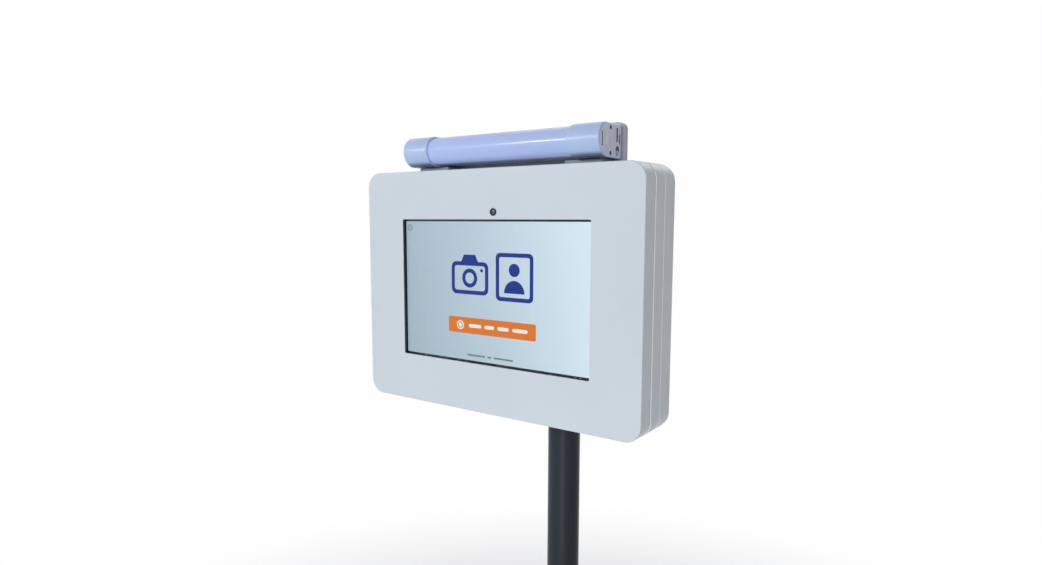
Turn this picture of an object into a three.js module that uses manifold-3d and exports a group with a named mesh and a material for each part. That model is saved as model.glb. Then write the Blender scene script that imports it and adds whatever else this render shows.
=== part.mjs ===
// A tablet photo booth on a height-adjustable pole. Millimetres, +Z up, +Y away from the user.
// The origin is the centre of the base pad's underside, on the axis of the pole.

import * as THREE from "three";
import { mergeVertices } from "three/addons/utils/BufferGeometryUtils.js";
import Module from "manifold-3d";

const wasm = await Module();
wasm.setup();

// ---- driving dimensions -------------------------------------------------------------------

const GAP = 0.3; // left between pieces that touch
const CORNER_STEPS = 5; // a board's quarter-round corner takes twice this many facets
const LAMP_STEPS = 10;

// The head is three routed boards and a back panel. Its own origin is the middle of the front face.
const HEAD_HEIGHT_ABOVE_FLOOR = 1000;
const HEAD_WIDTH = 330;
const HEAD_HEIGHT = 243.4;
const CORNER_RADIUS = 16;
const BOARD = 19.2;
const BOARD_EDGE = 0.8;
const PANEL_EDGE = 0.5;
const PANEL = 3;
const POLE_BEHIND_FACE = 149;

const FRONT_LIP = 3.6;
const SCREEN_OPENING = { width: 227.4, height: 144.4 };
const CAMERA = { x: 6.6, z: 79.3, hole: 3.6, ring: 3.3, bore: 2.2, barrel: 2.4 };

const TABLET = { width: 250, height: 170, radius: 10, wall: 2 };
const DISPLAY = { width: 226.2, height: 141.4 };
const TABLET_FRONT = FRONT_LIP + GAP;
const GLASS = 0.8;
const TABLET_BACK = 11.4;
const POCKET_CLEARANCE = 2.5;
const PORT_NOTCH = { x0: 120, x1: 138, half: 8 };
const BUTTON_PROUD = 0.6;
const BUTTON = { y: 8.2, halfThick: 1.2, footExtra: 1.2, footHalfThick: 1.9 };
const POWER_BUTTON = { x: -84, half: 7 };
const VOLUME_ROCKER = { x: -54, half: 12 };
const CHARGE_PORT = { half: 4.6, front: 6.4, back: 9.8 };
const INNARDS = { front: 7, back: 10.1 };
const FOAM_PAD = { halfWidth: 110, halfHeight: 70, thick: 4 };
const BACKING = { width: 251, height: 171, radius: 9, thick: 3 };
const RETAINER = { halfLength: 60, low: 80, high: 94.4, thick: 3 };
const ADAPTER = { halfWidth: 31, front: 28, back: 53.8, low: -86, high: -40 };
const MIDDLE_OPENING = { width: 270, height: 190 };
const REAR_OPENING = { width: 290, height: 205 };
const INLET = { x: 100, z: -90, bore: 3, body: 6, flange: 9 };
const VENT = { first: 90, pitch: 8, count: 6, halfWidth: 1.5, low: 30, high: 70 };

const LAMP_HALF_LENGTH = 117;
const LAMP_AXIS = { y: 21, z: 143 };
const LAMP_CAP_RADIUS = 15.5;
const LAMP_TUBE_RADIUS = 13.65;
const LAMP_WALL = 1.6;
const LAMP_CAP_LENGTH = 33.2;
const LAMP_CAP_END = 2.8;
const LAMP_CAP_WALL = 1.9;
const LAMP_CAP_BACK = 49.9;
const LAMP_COVER_BACK = 35.7;
const LAMP_TRAY = { width: 237, top: 162, radius: 6, front: 50.2, back: 56.8, wall: 2 };
const LAMP_FOOT = { x: 91, halfLength: 20, front: 25, back: 47 };
const LED_BOARD = { half: 100, front: 34, halfHeight: 8 };
const LAMP_CELL = { half: 70, y: 43.2, radius: 5 };
const SWITCH = { y: 41.6, drop: 10.2, thumb: 2.2, stem: 1 };

const TILT_AXIS_Y = 98;
const TILT_BOLT_RADIUS = 4;
const EYE_HALF_WIDTH = 17.2;
const EYE_RADIUS = 15;
const EAR_INNER = 19.5;
const EAR = 5;
const MOUNT_PLATE = { size: 120, thick: 4, holes: 100, bolt: 3, clearance: 3.4 };
const STIFFENER = { size: 130, radius: 4, thick: 3 };
const TILT_KNOB = { radius: 22, crown: 21, boss: 5 };
const PAN_KNOB = { radius: 18, crown: 20, boss: 4 };
const HEIGHT_KNOB = { radius: 20, crown: 22, boss: 5 };

const UPPER_TUBE = { radius: 19, wall: 1.8, bottom: 60 };
const LOWER_TUBE = { radius: 23, wall: 2, top: 588 };
const SOCKET = { radius: 28, half: 34, roof: 5, boss: 9, bossProud: 4 };
const COLLAR = { radius: 31, bottom: 538, top: 613, knob: 600, mouth: 22.5, boss: 10, bossProud: 5 };
const BUSH = { radius: 22.2, flange: 26, lip: 2.5 };

const BASE = { size: 400, radius: 24, thick: 8, edge: 1.5, pad: 3, padInset: 6 };
const HUB = { radius: 62, thick: 8, neck: 30, top: 76, screws: 49 };
const HUB_SCREW = { shank: 3, clearance: 3.4, head: 6, spotFace: 7, headHeight: 4 };

// ---- helpers ------------------------------------------------------------------------------

const RIGHT = new THREE.Vector3(1, 0, 0);
const BACK = new THREE.Vector3(0, 1, 0);
const UP = new THREE.Vector3(0, 0, 1);

function material(color, roughness, metalness) {
  return new THREE.MeshStandardMaterial({ color, roughness, metalness });
}

const WHITE_BOARD = material(0xe9edf2, 0.45, 0);
const WHITE_PLASTIC = material(0xdde4f2, 0.35, 0);
const GREY_PLASTIC = material(0xb4b8c0, 0.5, 0);
const FROSTED = material(0xc9d6f5, 0.3, 0);
const BLACK_PLASTIC = material(0x17181b, 0.5, 0);
const BLACK_METAL = material(0x2b2f36, 0.45, 0.4);
const STEEL = material(0xb9bcc0, 0.35, 0.9);
const ALUMINIUM = material(0x9aa0a8, 0.4, 0.9);
const DARK_GLASS = material(0x0d1014, 0.08, 0);
const SCREEN = material(0xc5dbe8, 0.3, 0);
const CIRCUIT = material(0x1f4d34, 0.6, 0);
const RUBBER = material(0x1c1c1d, 0.9, 0);
const FOAM = material(0x3a3a3c, 0.95, 0);

/** A closed solid from a three.js geometry whose seams are welded. */
function solid(geometry) {
  const bare = geometry.index ? geometry.toNonIndexed() : geometry.clone();
  bare.deleteAttribute("normal");
  bare.deleteAttribute("uv");
  const welded = mergeVertices(bare, 1e-4);
  return new wasm.Manifold(
    new wasm.Mesh({
      numProp: 3,
      vertProperties: new Float32Array(welded.attributes.position.array),
      triVerts: new Uint32Array(welded.index.array),
    }),
  );
}

function geometryOf(body) {
  const mesh = body.getMesh();
  const geometry = new THREE.BufferGeometry();
  geometry.setAttribute("position", new THREE.BufferAttribute(mesh.vertProperties, 3));
  geometry.setIndex(new THREE.BufferAttribute(mesh.triVerts, 1));
  geometry.computeVertexNormals();
  return geometry;
}

function join(...geometries) {
  return geometryOf(geometries.map(solid).reduce((whole, piece) => whole.add(piece)));
}

function cut(geometry, ...tools) {
  return geometryOf(tools.map(solid).reduce((rest, tool) => rest.subtract(tool), solid(geometry)));
}

/** A box from its lowest corner to its highest. */
function block([x0, y0, z0], [x1, y1, z1]) {
  const box = new THREE.BoxGeometry(x1 - x0, y1 - y0, z1 - z0);
  return box.translate((x0 + x1) / 2, (y0 + y1) / 2, (z0 + z1) / 2);
}

/** A round bar along a direction, from one distance to another measured from a point. */
function bar(radius, direction, from, to, point = [0, 0, 0], sides = 32) {
  const turn = new THREE.Quaternion().setFromUnitVectors(BACK, direction);
  const middle = direction.clone().multiplyScalar((from + to) / 2);
  return new THREE.CylinderGeometry(radius, radius, to - from, sides)
    .applyQuaternion(turn)
    .translate(middle.x + point[0], middle.y + point[1], middle.z + point[2]);
}

/** A tube along a direction: a bar with a bar taken out of it. */
function sleeve(outer, inner, direction, from, to, point = [0, 0, 0], sides = 36) {
  return cut(
    bar(outer, direction, from, to, point, sides),
    bar(inner, direction, from - 1, to + 1, point, sides),
  );
}

function roundedRectangle(width, height, radius) {
  const w = width / 2;
  const h = height / 2;
  const shape = new THREE.Shape();
  shape.moveTo(-w + radius, -h);
  shape.lineTo(w - radius, -h);
  shape.absarc(w - radius, -h + radius, radius, -Math.PI / 2, 0);
  shape.lineTo(w, h - radius);
  shape.absarc(w - radius, h - radius, radius, 0, Math.PI / 2);
  shape.lineTo(-w + radius, h);
  shape.absarc(-w + radius, h - radius, radius, Math.PI / 2, Math.PI);
  shape.lineTo(-w, -h + radius);
  shape.absarc(-w + radius, -h + radius, radius, Math.PI, 1.5 * Math.PI);
  return shape;
}

/** Extrudes a shape, its two rims chamfered by edge, to a total depth. */
function extrude(shape, depth, edge = 0, curveSegments = 8) {
  return new THREE.ExtrudeGeometry(shape, {
    depth: depth - 2 * edge,
    curveSegments,
    bevelEnabled: edge > 0,
    bevelThickness: edge,
    bevelSize: edge,
    bevelOffset: -edge,
    bevelSegments: 1,
  }).translate(0, 0, edge);
}

/** A shape drawn in X and Z, standing between two depths in Y. */
function standing(shape, y0, y1, edge = 0, curveSegments = 8) {
  return extrude(shape, y1 - y0, edge, curveSegments)
    .rotateX(Math.PI / 2)
    .translate(0, y1, 0);
}

/** A shape drawn in Y and Z, extruded in X between two places. */
function across(shape, x0, x1, edge = 0, curveSegments = 8) {
  const basis = new THREE.Matrix4().makeBasis(BACK, UP, RIGHT);
  return extrude(shape, x1 - x0, edge, curveSegments)
    .applyMatrix4(basis)
    .translate(x0, 0, 0);
}

/** A shape drawn in X and Y, lying between two heights. */
function lying(shape, z0, z1, edge = 0, curveSegments = 8) {
  return extrude(shape, z1 - z0, edge, curveSegments).translate(0, 0, z0);
}

function piece(name, geometry, look, position = [0, 0, 0]) {
  const mesh = new THREE.Mesh(geometry, look);
  mesh.name = name;
  mesh.position.set(...position);
  return mesh;
}

function group(position, ...children) {
  const g = new THREE.Group();
  g.position.set(...position);
  g.add(...children);
  return g;
}

// ---- the head's case ----------------------------------------------------------------------

const frontOfMiddle = BOARD + GAP;
const frontOfRear = frontOfMiddle + BOARD - GAP;
const frontOfPanel = frontOfRear + BOARD;
const backOfPanel = frontOfPanel + PANEL;
const headTop = HEAD_HEIGHT / 2;

function boardOutline() {
  return roundedRectangle(HEAD_WIDTH, HEAD_HEIGHT, CORNER_RADIUS);
}

/** The front board: a thin lip round the screen, and behind it the pocket that takes the tablet. */
function frontFrame() {
  const pocket = roundedRectangle(
    TABLET.width + POCKET_CLEARANCE,
    TABLET.height + POCKET_CLEARANCE,
    TABLET.radius,
  );
  const opening = roundedRectangle(SCREEN_OPENING.width, SCREEN_OPENING.height, 1);
  return cut(
    standing(boardOutline(), 0, BOARD, BOARD_EDGE, CORNER_STEPS),
    standing(pocket, FRONT_LIP, BOARD + 1, 0, 2),
    standing(opening, -1, FRONT_LIP + 1, 0, 1),
    bar(CAMERA.hole, BACK, -1, FRONT_LIP + 1, [CAMERA.x, 0, CAMERA.z], 24),
    block([PORT_NOTCH.x0, FRONT_LIP, -PORT_NOTCH.half], [PORT_NOTCH.x1, BOARD + 1, PORT_NOTCH.half]),
  );
}

/** A board routed out to a rim. */
function rimFrame(y0, y1, opening) {
  return cut(
    standing(boardOutline(), y0, y1, BOARD_EDGE, CORNER_STEPS),
    standing(roundedRectangle(opening.width, opening.height, 10), y0 - 1, y1 + 1, 0, 2),
  );
}

/** The four places, in X and Z, of the bolts that hold the tilting bracket. */
function mountPlaces() {
  const offset = MOUNT_PLATE.holes / 2;
  return [[-offset, -offset], [offset, -offset], [-offset, offset], [offset, offset]];
}

function mountHoles(y0, y1) {
  return mountPlaces().map(([x, z]) => bar(MOUNT_PLATE.clearance, BACK, y0, y1, [x, 0, z], 12));
}

function rearPanel() {
  const y0 = frontOfPanel - 1;
  const y1 = backOfPanel + 1;
  const slots = [];
  for (const side of [-1, 1]) {
    for (let i = 0; i < VENT.count; i += 1) {
      const x = side * (VENT.first + i * VENT.pitch);
      slots.push(block([x - VENT.halfWidth, y0, VENT.low], [x + VENT.halfWidth, y1, VENT.high]));
    }
  }
  return cut(
    standing(boardOutline(), frontOfPanel, backOfPanel, PANEL_EDGE, CORNER_STEPS),
    ...mountHoles(y0, y1),
    ...slots,
    bar(INLET.body + GAP, BACK, y0, y1, [INLET.x, 0, INLET.z], 20),
  );
}

/** The round gland in the rear panel that the mains-adapter lead comes in through. */
function inletGland() {
  const body = bar(INLET.body, BACK, frontOfPanel - 4, backOfPanel + 9, [0, 0, 0], 20);
  const flange = bar(INLET.flange, BACK, backOfPanel + GAP, backOfPanel + 4, [0, 0, 0], 6);
  return cut(join(body, flange), bar(INLET.bore, BACK, frontOfPanel - 5, backOfPanel + 10, [0, 0, 0], 16));
}

function cameraGrommet() {
  return sleeve(CAMERA.ring, CAMERA.bore, BACK, -GAP, FRONT_LIP, [0, 0, 0], 24);
}

function headCase() {
  return [
    piece("front_frame", frontFrame(), WHITE_BOARD),
    piece("middle_frame", rimFrame(frontOfMiddle, frontOfRear - GAP, MIDDLE_OPENING), WHITE_BOARD),
    piece("rear_frame", rimFrame(frontOfRear, frontOfPanel - GAP, REAR_OPENING), WHITE_BOARD),
    piece("rear_panel", rearPanel(), WHITE_BOARD),
    piece("inlet_gland", inletGland(), BLACK_PLASTIC, [INLET.x, 0, INLET.z]),
    piece("camera_grommet", cameraGrommet(), BLACK_PLASTIC, [CAMERA.x, 0, CAMERA.z]),
  ];
}

// ---- the tablet and what holds it ---------------------------------------------------------

function tabletOutline(inset, radius) {
  return roundedRectangle(TABLET.width - 2 * inset, TABLET.height - 2 * inset, radius);
}


/** The tablet's metal tray, with its port in the right edge and its button slots in the top edge. */
function tabletShell() {
  const front = TABLET_FRONT + GLASS + GAP;
  const top = TABLET.height / 2;
  const slotHalf = BUTTON.halfThick + GAP;
  const slot = ({ x, half }) => block(
    [x - half - GAP, BUTTON.y - slotHalf, top - TABLET.wall - 1],
    [x + half + GAP, BUTTON.y + slotHalf, top + 1],
  );
  const side = TABLET.width / 2;
  return cut(
    standing(tabletOutline(0, TABLET.radius), front, TABLET_BACK, 0, 3),
    standing(tabletOutline(TABLET.wall, TABLET.radius - TABLET.wall), front - 1, TABLET_BACK - 1, 0, 3),
    block([side - 4, CHARGE_PORT.front, -CHARGE_PORT.half], [side + 1, CHARGE_PORT.back, CHARGE_PORT.half]),
    slot(POWER_BUTTON),
    slot(VOLUME_ROCKER),
  );
}

/** A key on the tablet's top edge: a cap in the slot and a wider foot inside that keeps it in. */
function edgeKey({ half }) {
  const top = TABLET.height / 2;
  const foot = top - TABLET.wall;
  const { y, halfThick, footExtra, footHalfThick } = BUTTON;
  const footHalf = half + footExtra;
  return join(
    block([-half, y - halfThick, foot - 0.7], [half, y + halfThick, top + BUTTON_PROUD]),
    block([-footHalf, y - footHalfThick, foot - 1.5], [footHalf, y + footHalfThick, foot - 0.6]),
  );
}

function tabletCamera() {
  return bar(CAMERA.barrel, BACK, TABLET_FRONT + GLASS + GAP, TABLET_BACK - 1 - GAP, [0, 0, 0], 20);
}

function tablet() {
  const glassBack = TABLET_FRONT + GLASS;
  const { front, back } = INNARDS;
  const display = roundedRectangle(DISPLAY.width, DISPLAY.height, 1);
  return [
    piece("tablet_glass", standing(tabletOutline(0.5, TABLET.radius), TABLET_FRONT, glassBack, 0, 3),
      DARK_GLASS),
    piece("tablet_display", standing(display, glassBack + GAP, glassBack + 1.9, 0, 1), SCREEN),
    piece("tablet_shell", tabletShell(), ALUMINIUM),
    piece("tablet_battery", block([-92, front, -56], [74, back, 56]), BLACK_PLASTIC),
    piece("tablet_board", block([78, front, -60], [112, back, 70]), CIRCUIT),
    piece("tablet_camera", tabletCamera(), BLACK_PLASTIC, [CAMERA.x, 0, CAMERA.z]),
    piece("tablet_power_button", edgeKey(POWER_BUTTON), ALUMINIUM, [POWER_BUTTON.x, 0, 0]),
    piece("tablet_volume_rocker", edgeKey(VOLUME_ROCKER), ALUMINIUM, [VOLUME_ROCKER.x, 0, 0]),
  ];
}

function retainerBar(low, high) {
  const { halfLength, thick } = RETAINER;
  return block([-halfLength, frontOfMiddle, low], [halfLength, frontOfMiddle + thick, high]);
}

function tabletFixings() {
  const foamFront = TABLET_BACK + GAP;
  const boardFront = foamFront + FOAM_PAD.thick + GAP;
  const { halfWidth, halfHeight } = FOAM_PAD;
  const foam = block([-halfWidth, foamFront, -halfHeight], [halfWidth, boardFront - GAP, halfHeight]);
  const backing = roundedRectangle(BACKING.width, BACKING.height, BACKING.radius);
  const { low, high } = RETAINER;
  const adapter = block([-ADAPTER.halfWidth, ADAPTER.front, ADAPTER.low],
    [ADAPTER.halfWidth, ADAPTER.back, ADAPTER.high]);
  return [
    piece("foam_pad", foam, FOAM),
    piece("backing_board", standing(backing, boardFront, boardFront + BACKING.thick, 0, 2), BLACK_PLASTIC),
    piece("retainer_bar_top", retainerBar(low, high), STEEL),
    piece("retainer_bar_bottom", retainerBar(-high, -low), STEEL),
    piece("power_adapter", adapter, BLACK_PLASTIC),
  ];
}

// ---- the lamp on top of the head ----------------------------------------------------------

/** A half-round front on a straight-sided back: the lamp's section, drawn in Y and Z. */
function lampSection(radius, back) {
  const { y, z } = LAMP_AXIS;
  const shape = new THREE.Shape();
  shape.moveTo(back, z - radius);
  shape.lineTo(back, z + radius);
  shape.lineTo(y, z + radius);
  shape.absarc(y, z, radius, Math.PI / 2, 1.5 * Math.PI);
  return shape;
}

const capInner = LAMP_HALF_LENGTH - LAMP_CAP_LENGTH;
const capEndInside = LAMP_HALF_LENGTH - LAMP_CAP_END;
const lampInsideEnd = capEndInside - 2.6; // the cover and channel stop short of the end screws
const capScrewY = 28;
const capScrewRise = 11.3;

/** The cap on the lamp's right end: hollow, with two screw wells and, if asked, the switch's slot. */
function lampCap(hasSwitch) {
  const { z } = LAMP_AXIS;
  const end = LAMP_HALF_LENGTH;
  const hollow = lampSection(LAMP_TUBE_RADIUS + GAP, LAMP_CAP_BACK - LAMP_CAP_WALL);
  const tools = [
    across(hollow, capInner - 1, capEndInside, 0, LAMP_STEPS),
    block([end - 1, 11.2, z - 6.3], [end + 1, 12.8, z + 6.3]),
    block([end - 1, 39.4, z - 0.5], [end + 1, 42.2, z + 12]),
  ];
  for (const rise of [-capScrewRise, capScrewRise]) {
    tools.push(bar(1.9, RIGHT, end - 5, end + 1, [0, capScrewY, z + rise], 12));
  }
  if (hasSwitch) {
    tools.push(block([end - 1.4, 38.2, z - 12.8], [end + 1, 45, z - 4]));
    tools.push(block([end - 5, 40.3, z - 11.6], [end + 1, 42.9, z - 5.2]));
  }
  return cut(
    across(lampSection(LAMP_CAP_RADIUS, LAMP_CAP_BACK), capInner, end, 1, LAMP_STEPS),
    ...tools,
  );
}

function mirrored(geometry) {
  const flipped = solid(geometry).mirror([1, 0, 0]);
  return geometryOf(flipped);
}

/** The frosted cover: a trough open at the back. */
function lampDiffuser() {
  const half = lampInsideEnd;
  const outside = lampSection(LAMP_TUBE_RADIUS, LAMP_COVER_BACK);
  const inside = lampSection(LAMP_TUBE_RADIUS - LAMP_WALL, LAMP_COVER_BACK + 1);
  return cut(
    across(outside, -half, half, 0, LAMP_STEPS),
    across(inside, -half - 1, half + 1, 0, LAMP_STEPS),
  );
}

/** The aluminium channel behind the cover, open towards the base. */
function lampHousing() {
  const half = lampInsideEnd;
  const { z } = LAMP_AXIS;
  const front = LAMP_COVER_BACK + GAP;
  const back = LAMP_CAP_BACK - LAMP_CAP_WALL - GAP;
  const low = z - LAMP_TUBE_RADIUS;
  const high = z + LAMP_TUBE_RADIUS;
  return cut(
    block([-half, front, low], [half, back, high]),
    block([-half - 1, front + LAMP_WALL, low + LAMP_WALL], [half + 1, back + 1, high - LAMP_WALL]),
  );
}

/** The cross-head screw that closes an end cap. */
function capScrew() {
  return cut(
    bar(1.6, RIGHT, LAMP_HALF_LENGTH - 4.6, LAMP_HALF_LENGTH - 1.2, [0, 0, 0], 12),
    block([LAMP_HALF_LENGTH - 1.8, -1.1, -0.3], [LAMP_HALF_LENGTH, 1.1, 0.3]),
  );
}

/** The slide switch: a round thumb on a stem, at the low end of its slot. */
function switchKnob() {
  const end = LAMP_HALF_LENGTH;
  return join(
    bar(SWITCH.thumb, RIGHT, end - 1.1, end + 0.9, [0, 0, 0], 16),
    bar(SWITCH.stem, RIGHT, end - 4, end - 0.5, [0, 0, 0], 12),
  );
}

/** The rounded outline that the lamp's tray and its back plate share, and its height's middle. */
function trayOutline(inset) {
  const low = headTop + GAP;
  const height = LAMP_TRAY.top - low;
  return {
    shape: roundedRectangle(LAMP_TRAY.width - 2 * inset, height - 2 * inset, LAMP_TRAY.radius - inset),
    middle: (LAMP_TRAY.top + low) / 2,
  };
}

/** The tray behind the channel, open at the back. */
function lampBase() {
  const { front, back, wall } = LAMP_TRAY;
  const outer = trayOutline(0);
  return cut(
    standing(outer.shape, front, back, 0.6, 3),
    standing(trayOutline(wall).shape, front + wall, back + 1, 0, 2),
  ).translate(0, 0, outer.middle);
}

function lampBackPlate() {
  const outer = trayOutline(0);
  return standing(outer.shape, LAMP_TRAY.back + GAP, backOfPanel, 0.6, 3).translate(0, 0, outer.middle);
}

function lampFoot() {
  const top = LAMP_AXIS.z - LAMP_CAP_RADIUS - GAP;
  const { halfLength, front, back } = LAMP_FOOT;
  return block([-halfLength, front, headTop + GAP], [halfLength, back, top]);
}

function lamp() {
  const { z } = LAMP_AXIS;
  const screws = [];
  for (const [index, rise] of [-capScrewRise, capScrewRise].entries()) {
    screws.push(piece(`lamp_screw_right_${index + 1}`, capScrew(), STEEL, [0, capScrewY, z + rise]));
    screws.push(piece(`lamp_screw_left_${index + 1}`, mirrored(capScrew()), STEEL,
      [0, capScrewY, z + rise]));
  }
  const ledBoard = block([-LED_BOARD.half, LED_BOARD.front, z - LED_BOARD.halfHeight],
    [LED_BOARD.half, LAMP_COVER_BACK, z + LED_BOARD.halfHeight]);
  const cell = bar(LAMP_CELL.radius, RIGHT, -LAMP_CELL.half, LAMP_CELL.half, [0, LAMP_CELL.y, z], 16);
  return [
    piece("lamp_diffuser", lampDiffuser(), FROSTED),
    piece("lamp_housing", lampHousing(), GREY_PLASTIC),
    piece("lamp_cap_right", lampCap(true), WHITE_PLASTIC),
    piece("lamp_cap_left", mirrored(lampCap(false)), WHITE_PLASTIC),
    piece("lamp_led_board", ledBoard, CIRCUIT),
    piece("lamp_battery", cell, GREY_PLASTIC),
    piece("lamp_switch_knob", switchKnob(), WHITE_PLASTIC, [0, SWITCH.y, z - SWITCH.drop]),
    piece("lamp_base", lampBase(), GREY_PLASTIC),
    piece("lamp_back_plate", lampBackPlate(), GREY_PLASTIC),
    piece("lamp_foot_left", lampFoot(), GREY_PLASTIC, [-LAMP_FOOT.x, 0, 0]),
    piece("lamp_foot_right", lampFoot(), GREY_PLASTIC, [LAMP_FOOT.x, 0, 0]),
    ...screws,
  ];
}

// ---- the tilting bracket behind the head --------------------------------------------------

/** The plate on the head's back with two ears welded to it, drilled for the tilt bolt. */
function tiltPlate() {
  const y0 = backOfPanel + GAP;
  const y1 = y0 + MOUNT_PLATE.thick;
  const plate = standing(roundedRectangle(MOUNT_PLATE.size, MOUNT_PLATE.size, 8), y0, y1, 0, 2);
  const side = new THREE.Shape();
  side.moveTo(y1 - 1, -30);
  side.lineTo(TILT_AXIS_Y - 4, -EYE_RADIUS);
  side.absarc(TILT_AXIS_Y, 0, EYE_RADIUS, -Math.PI / 2, Math.PI / 2);
  side.lineTo(TILT_AXIS_Y - 4, EYE_RADIUS);
  side.lineTo(y1 - 1, 30);
  const bolt = bar(TILT_BOLT_RADIUS + GAP, RIGHT, -40, 40, [0, TILT_AXIS_Y, 0], 20);
  return cut(
    join(
      plate,
      across(side, EAR_INNER, EAR_INNER + EAR),
      across(side, -EAR_INNER - EAR, -EAR_INNER),
    ),
    bolt,
    ...mountHoles(y0 - 1, y1 + 1),
  );
}

/** A button-head bolt through the plate, the panel and the stiffening plate inside. */
function mountBolt() {
  const back = backOfPanel + GAP + MOUNT_PLATE.thick;
  return join(
    bar(MOUNT_PLATE.bolt, BACK, frontOfPanel - 6, back + 1, [0, 0, 0], 12),
    bar(5.5, BACK, back + GAP, back + 3.5, [0, 0, 0], 16),
  );
}

/** The steel plate inside the rear panel that spreads the bracket's load. */
function stiffeningPlate() {
  const back = frontOfPanel - GAP;
  const front = back - STIFFENER.thick;
  const outline = roundedRectangle(STIFFENER.size, STIFFENER.size, STIFFENER.radius);
  return cut(standing(outline, front, back, 0, 1), ...mountHoles(front - 1, back + 1));
}

function tiltWasher() {
  return sleeve(13, TILT_BOLT_RADIUS + GAP, RIGHT, 0, EAR_INNER - EYE_HALF_WIDTH - 2 * GAP, [0, 0, 0], 20);
}

/** The casting that fits over the pole, with an arm to the eye that the head tilts on. */
function panHead() {
  const { radius, half, roof } = SOCKET;
  const bore = UPPER_TUBE.radius + GAP;
  const y = POLE_BEHIND_FACE;
  const body = join(
    bar(radius, UP, -half, half, [0, y, 0], 36),
    block([-EYE_HALF_WIDTH, TILT_AXIS_Y, -11], [EYE_HALF_WIDTH, y, 11]),
    bar(EYE_RADIUS, RIGHT, -EYE_HALF_WIDTH, EYE_HALF_WIDTH, [0, TILT_AXIS_Y, 0], 32),
    bar(SOCKET.boss, BACK, y + radius - 4, y + radius + SOCKET.bossProud, [0, 0, 0], 20),
  );
  return cut(
    body,
    bar(bore, UP, -half - 1, half - roof, [0, y, 0], 36),
    bar(TILT_BOLT_RADIUS + GAP, RIGHT, -30, 30, [0, TILT_AXIS_Y, 0], 20),
    bar(TILT_BOLT_RADIUS + GAP, BACK, y, y + radius + SOCKET.bossProud + 1, [0, 0, 0], 20),
  );
}

function tiltBolt() {
  const outer = EAR_INNER + EAR + GAP;
  return join(
    bar(TILT_BOLT_RADIUS, RIGHT, -outer - 1, 42, [0, 0, 0], 16),
    bar(7.5, RIGHT, -outer - 5.5, -outer, [0, 0, 0], 6),
  );
}

/** A lobed hand knob about its own +Y axis, from its boss at 0 to its crown. */
function lobedKnob({ radius, crown, boss }, bore, boreDepth) {
  const lobes = 6;
  const rim = new THREE.Shape();
  const steps = lobes * 6;
  for (let i = 0; i < steps; i += 1) {
    const angle = (2 * Math.PI * i) / steps;
    const r = radius * (0.92 + 0.08 * Math.cos(lobes * angle));
    const x = r * Math.cos(angle);
    const z = r * Math.sin(angle);
    if (i === 0) rim.moveTo(x, z);
    else rim.lineTo(x, z);
  }
  rim.closePath();
  const body = join(
    standing(rim, boss, crown, 1.5, 1),
    bar(radius * 0.45, BACK, 0, boss + 1, [0, 0, 0], 24),
  );
  if (boreDepth === 0) return body;
  return cut(body, bar(bore, BACK, -1, boreDepth, [0, 0, 0], 16));
}

/** A knob with its own threaded stud, which reaches in from the boss to clamp a tube. */
function clampKnob({ radius, crown, boss }, reach) {
  return join(
    lobedKnob({ radius, crown, boss }, 0, 0),
    bar(TILT_BOLT_RADIUS, BACK, -reach, 1, [0, 0, 0], 16),
  );
}

function bracketOnHead() {
  const bolts = mountPlaces().map(([x, z], index) =>
    piece(`mount_bolt_${index + 1}`, mountBolt(), BLACK_METAL, [x, 0, z]));
  return [
    piece("tilt_plate", tiltPlate(), BLACK_METAL),
    piece("stiffening_plate", stiffeningPlate(), STEEL),
    ...bolts,
  ];
}

function bracketOnPole() {
  const y = POLE_BEHIND_FACE;
  const tiltKnob = lobedKnob(TILT_KNOB, TILT_BOLT_RADIUS + GAP, TILT_KNOB.crown - 3).rotateZ(-Math.PI / 2);
  const washerX = EYE_HALF_WIDTH + GAP;
  const knobFoot = SOCKET.radius + SOCKET.bossProud + GAP;
  return [
    piece("pan_head", panHead(), BLACK_METAL),
    piece("tilt_bolt", tiltBolt(), STEEL, [0, TILT_AXIS_Y, 0]),
    piece("tilt_knob", tiltKnob, BLACK_PLASTIC, [EAR_INNER + EAR + GAP, TILT_AXIS_Y, 0]),
    piece("tilt_washer_right", tiltWasher(), WHITE_PLASTIC, [washerX, TILT_AXIS_Y, 0]),
    piece("tilt_washer_left", mirrored(tiltWasher()), WHITE_PLASTIC, [-washerX, TILT_AXIS_Y, 0]),
    piece("pan_knob", clampKnob(PAN_KNOB, knobFoot - UPPER_TUBE.radius - GAP), BLACK_PLASTIC,
      [0, y + knobFoot, 0]),
  ];
}

// ---- the pole and the base ----------------------------------------------------------------

function upperTube() {
  const top = HEAD_HEIGHT_ABOVE_FLOOR + SOCKET.half - SOCKET.roof - GAP;
  const { radius, wall, bottom } = UPPER_TUBE;
  return sleeve(radius, radius - wall, UP, bottom, top, [0, 0, 0], 40);
}

/** The nylon ring on the foot of the upper tube that runs in the lower one. */
function glideBush() {
  const bottom = UPPER_TUBE.bottom + 4;
  const outer = LOWER_TUBE.radius - LOWER_TUBE.wall - GAP;
  return sleeve(outer, UPPER_TUBE.radius + GAP, UP, bottom, bottom + 30);
}

function lowerTube() {
  const { radius, wall, top } = LOWER_TUBE;
  return sleeve(radius, radius - wall, UP, BASE.pad + BASE.thick + 2 * GAP, top, [0, 0, 0], 40);
}

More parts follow.
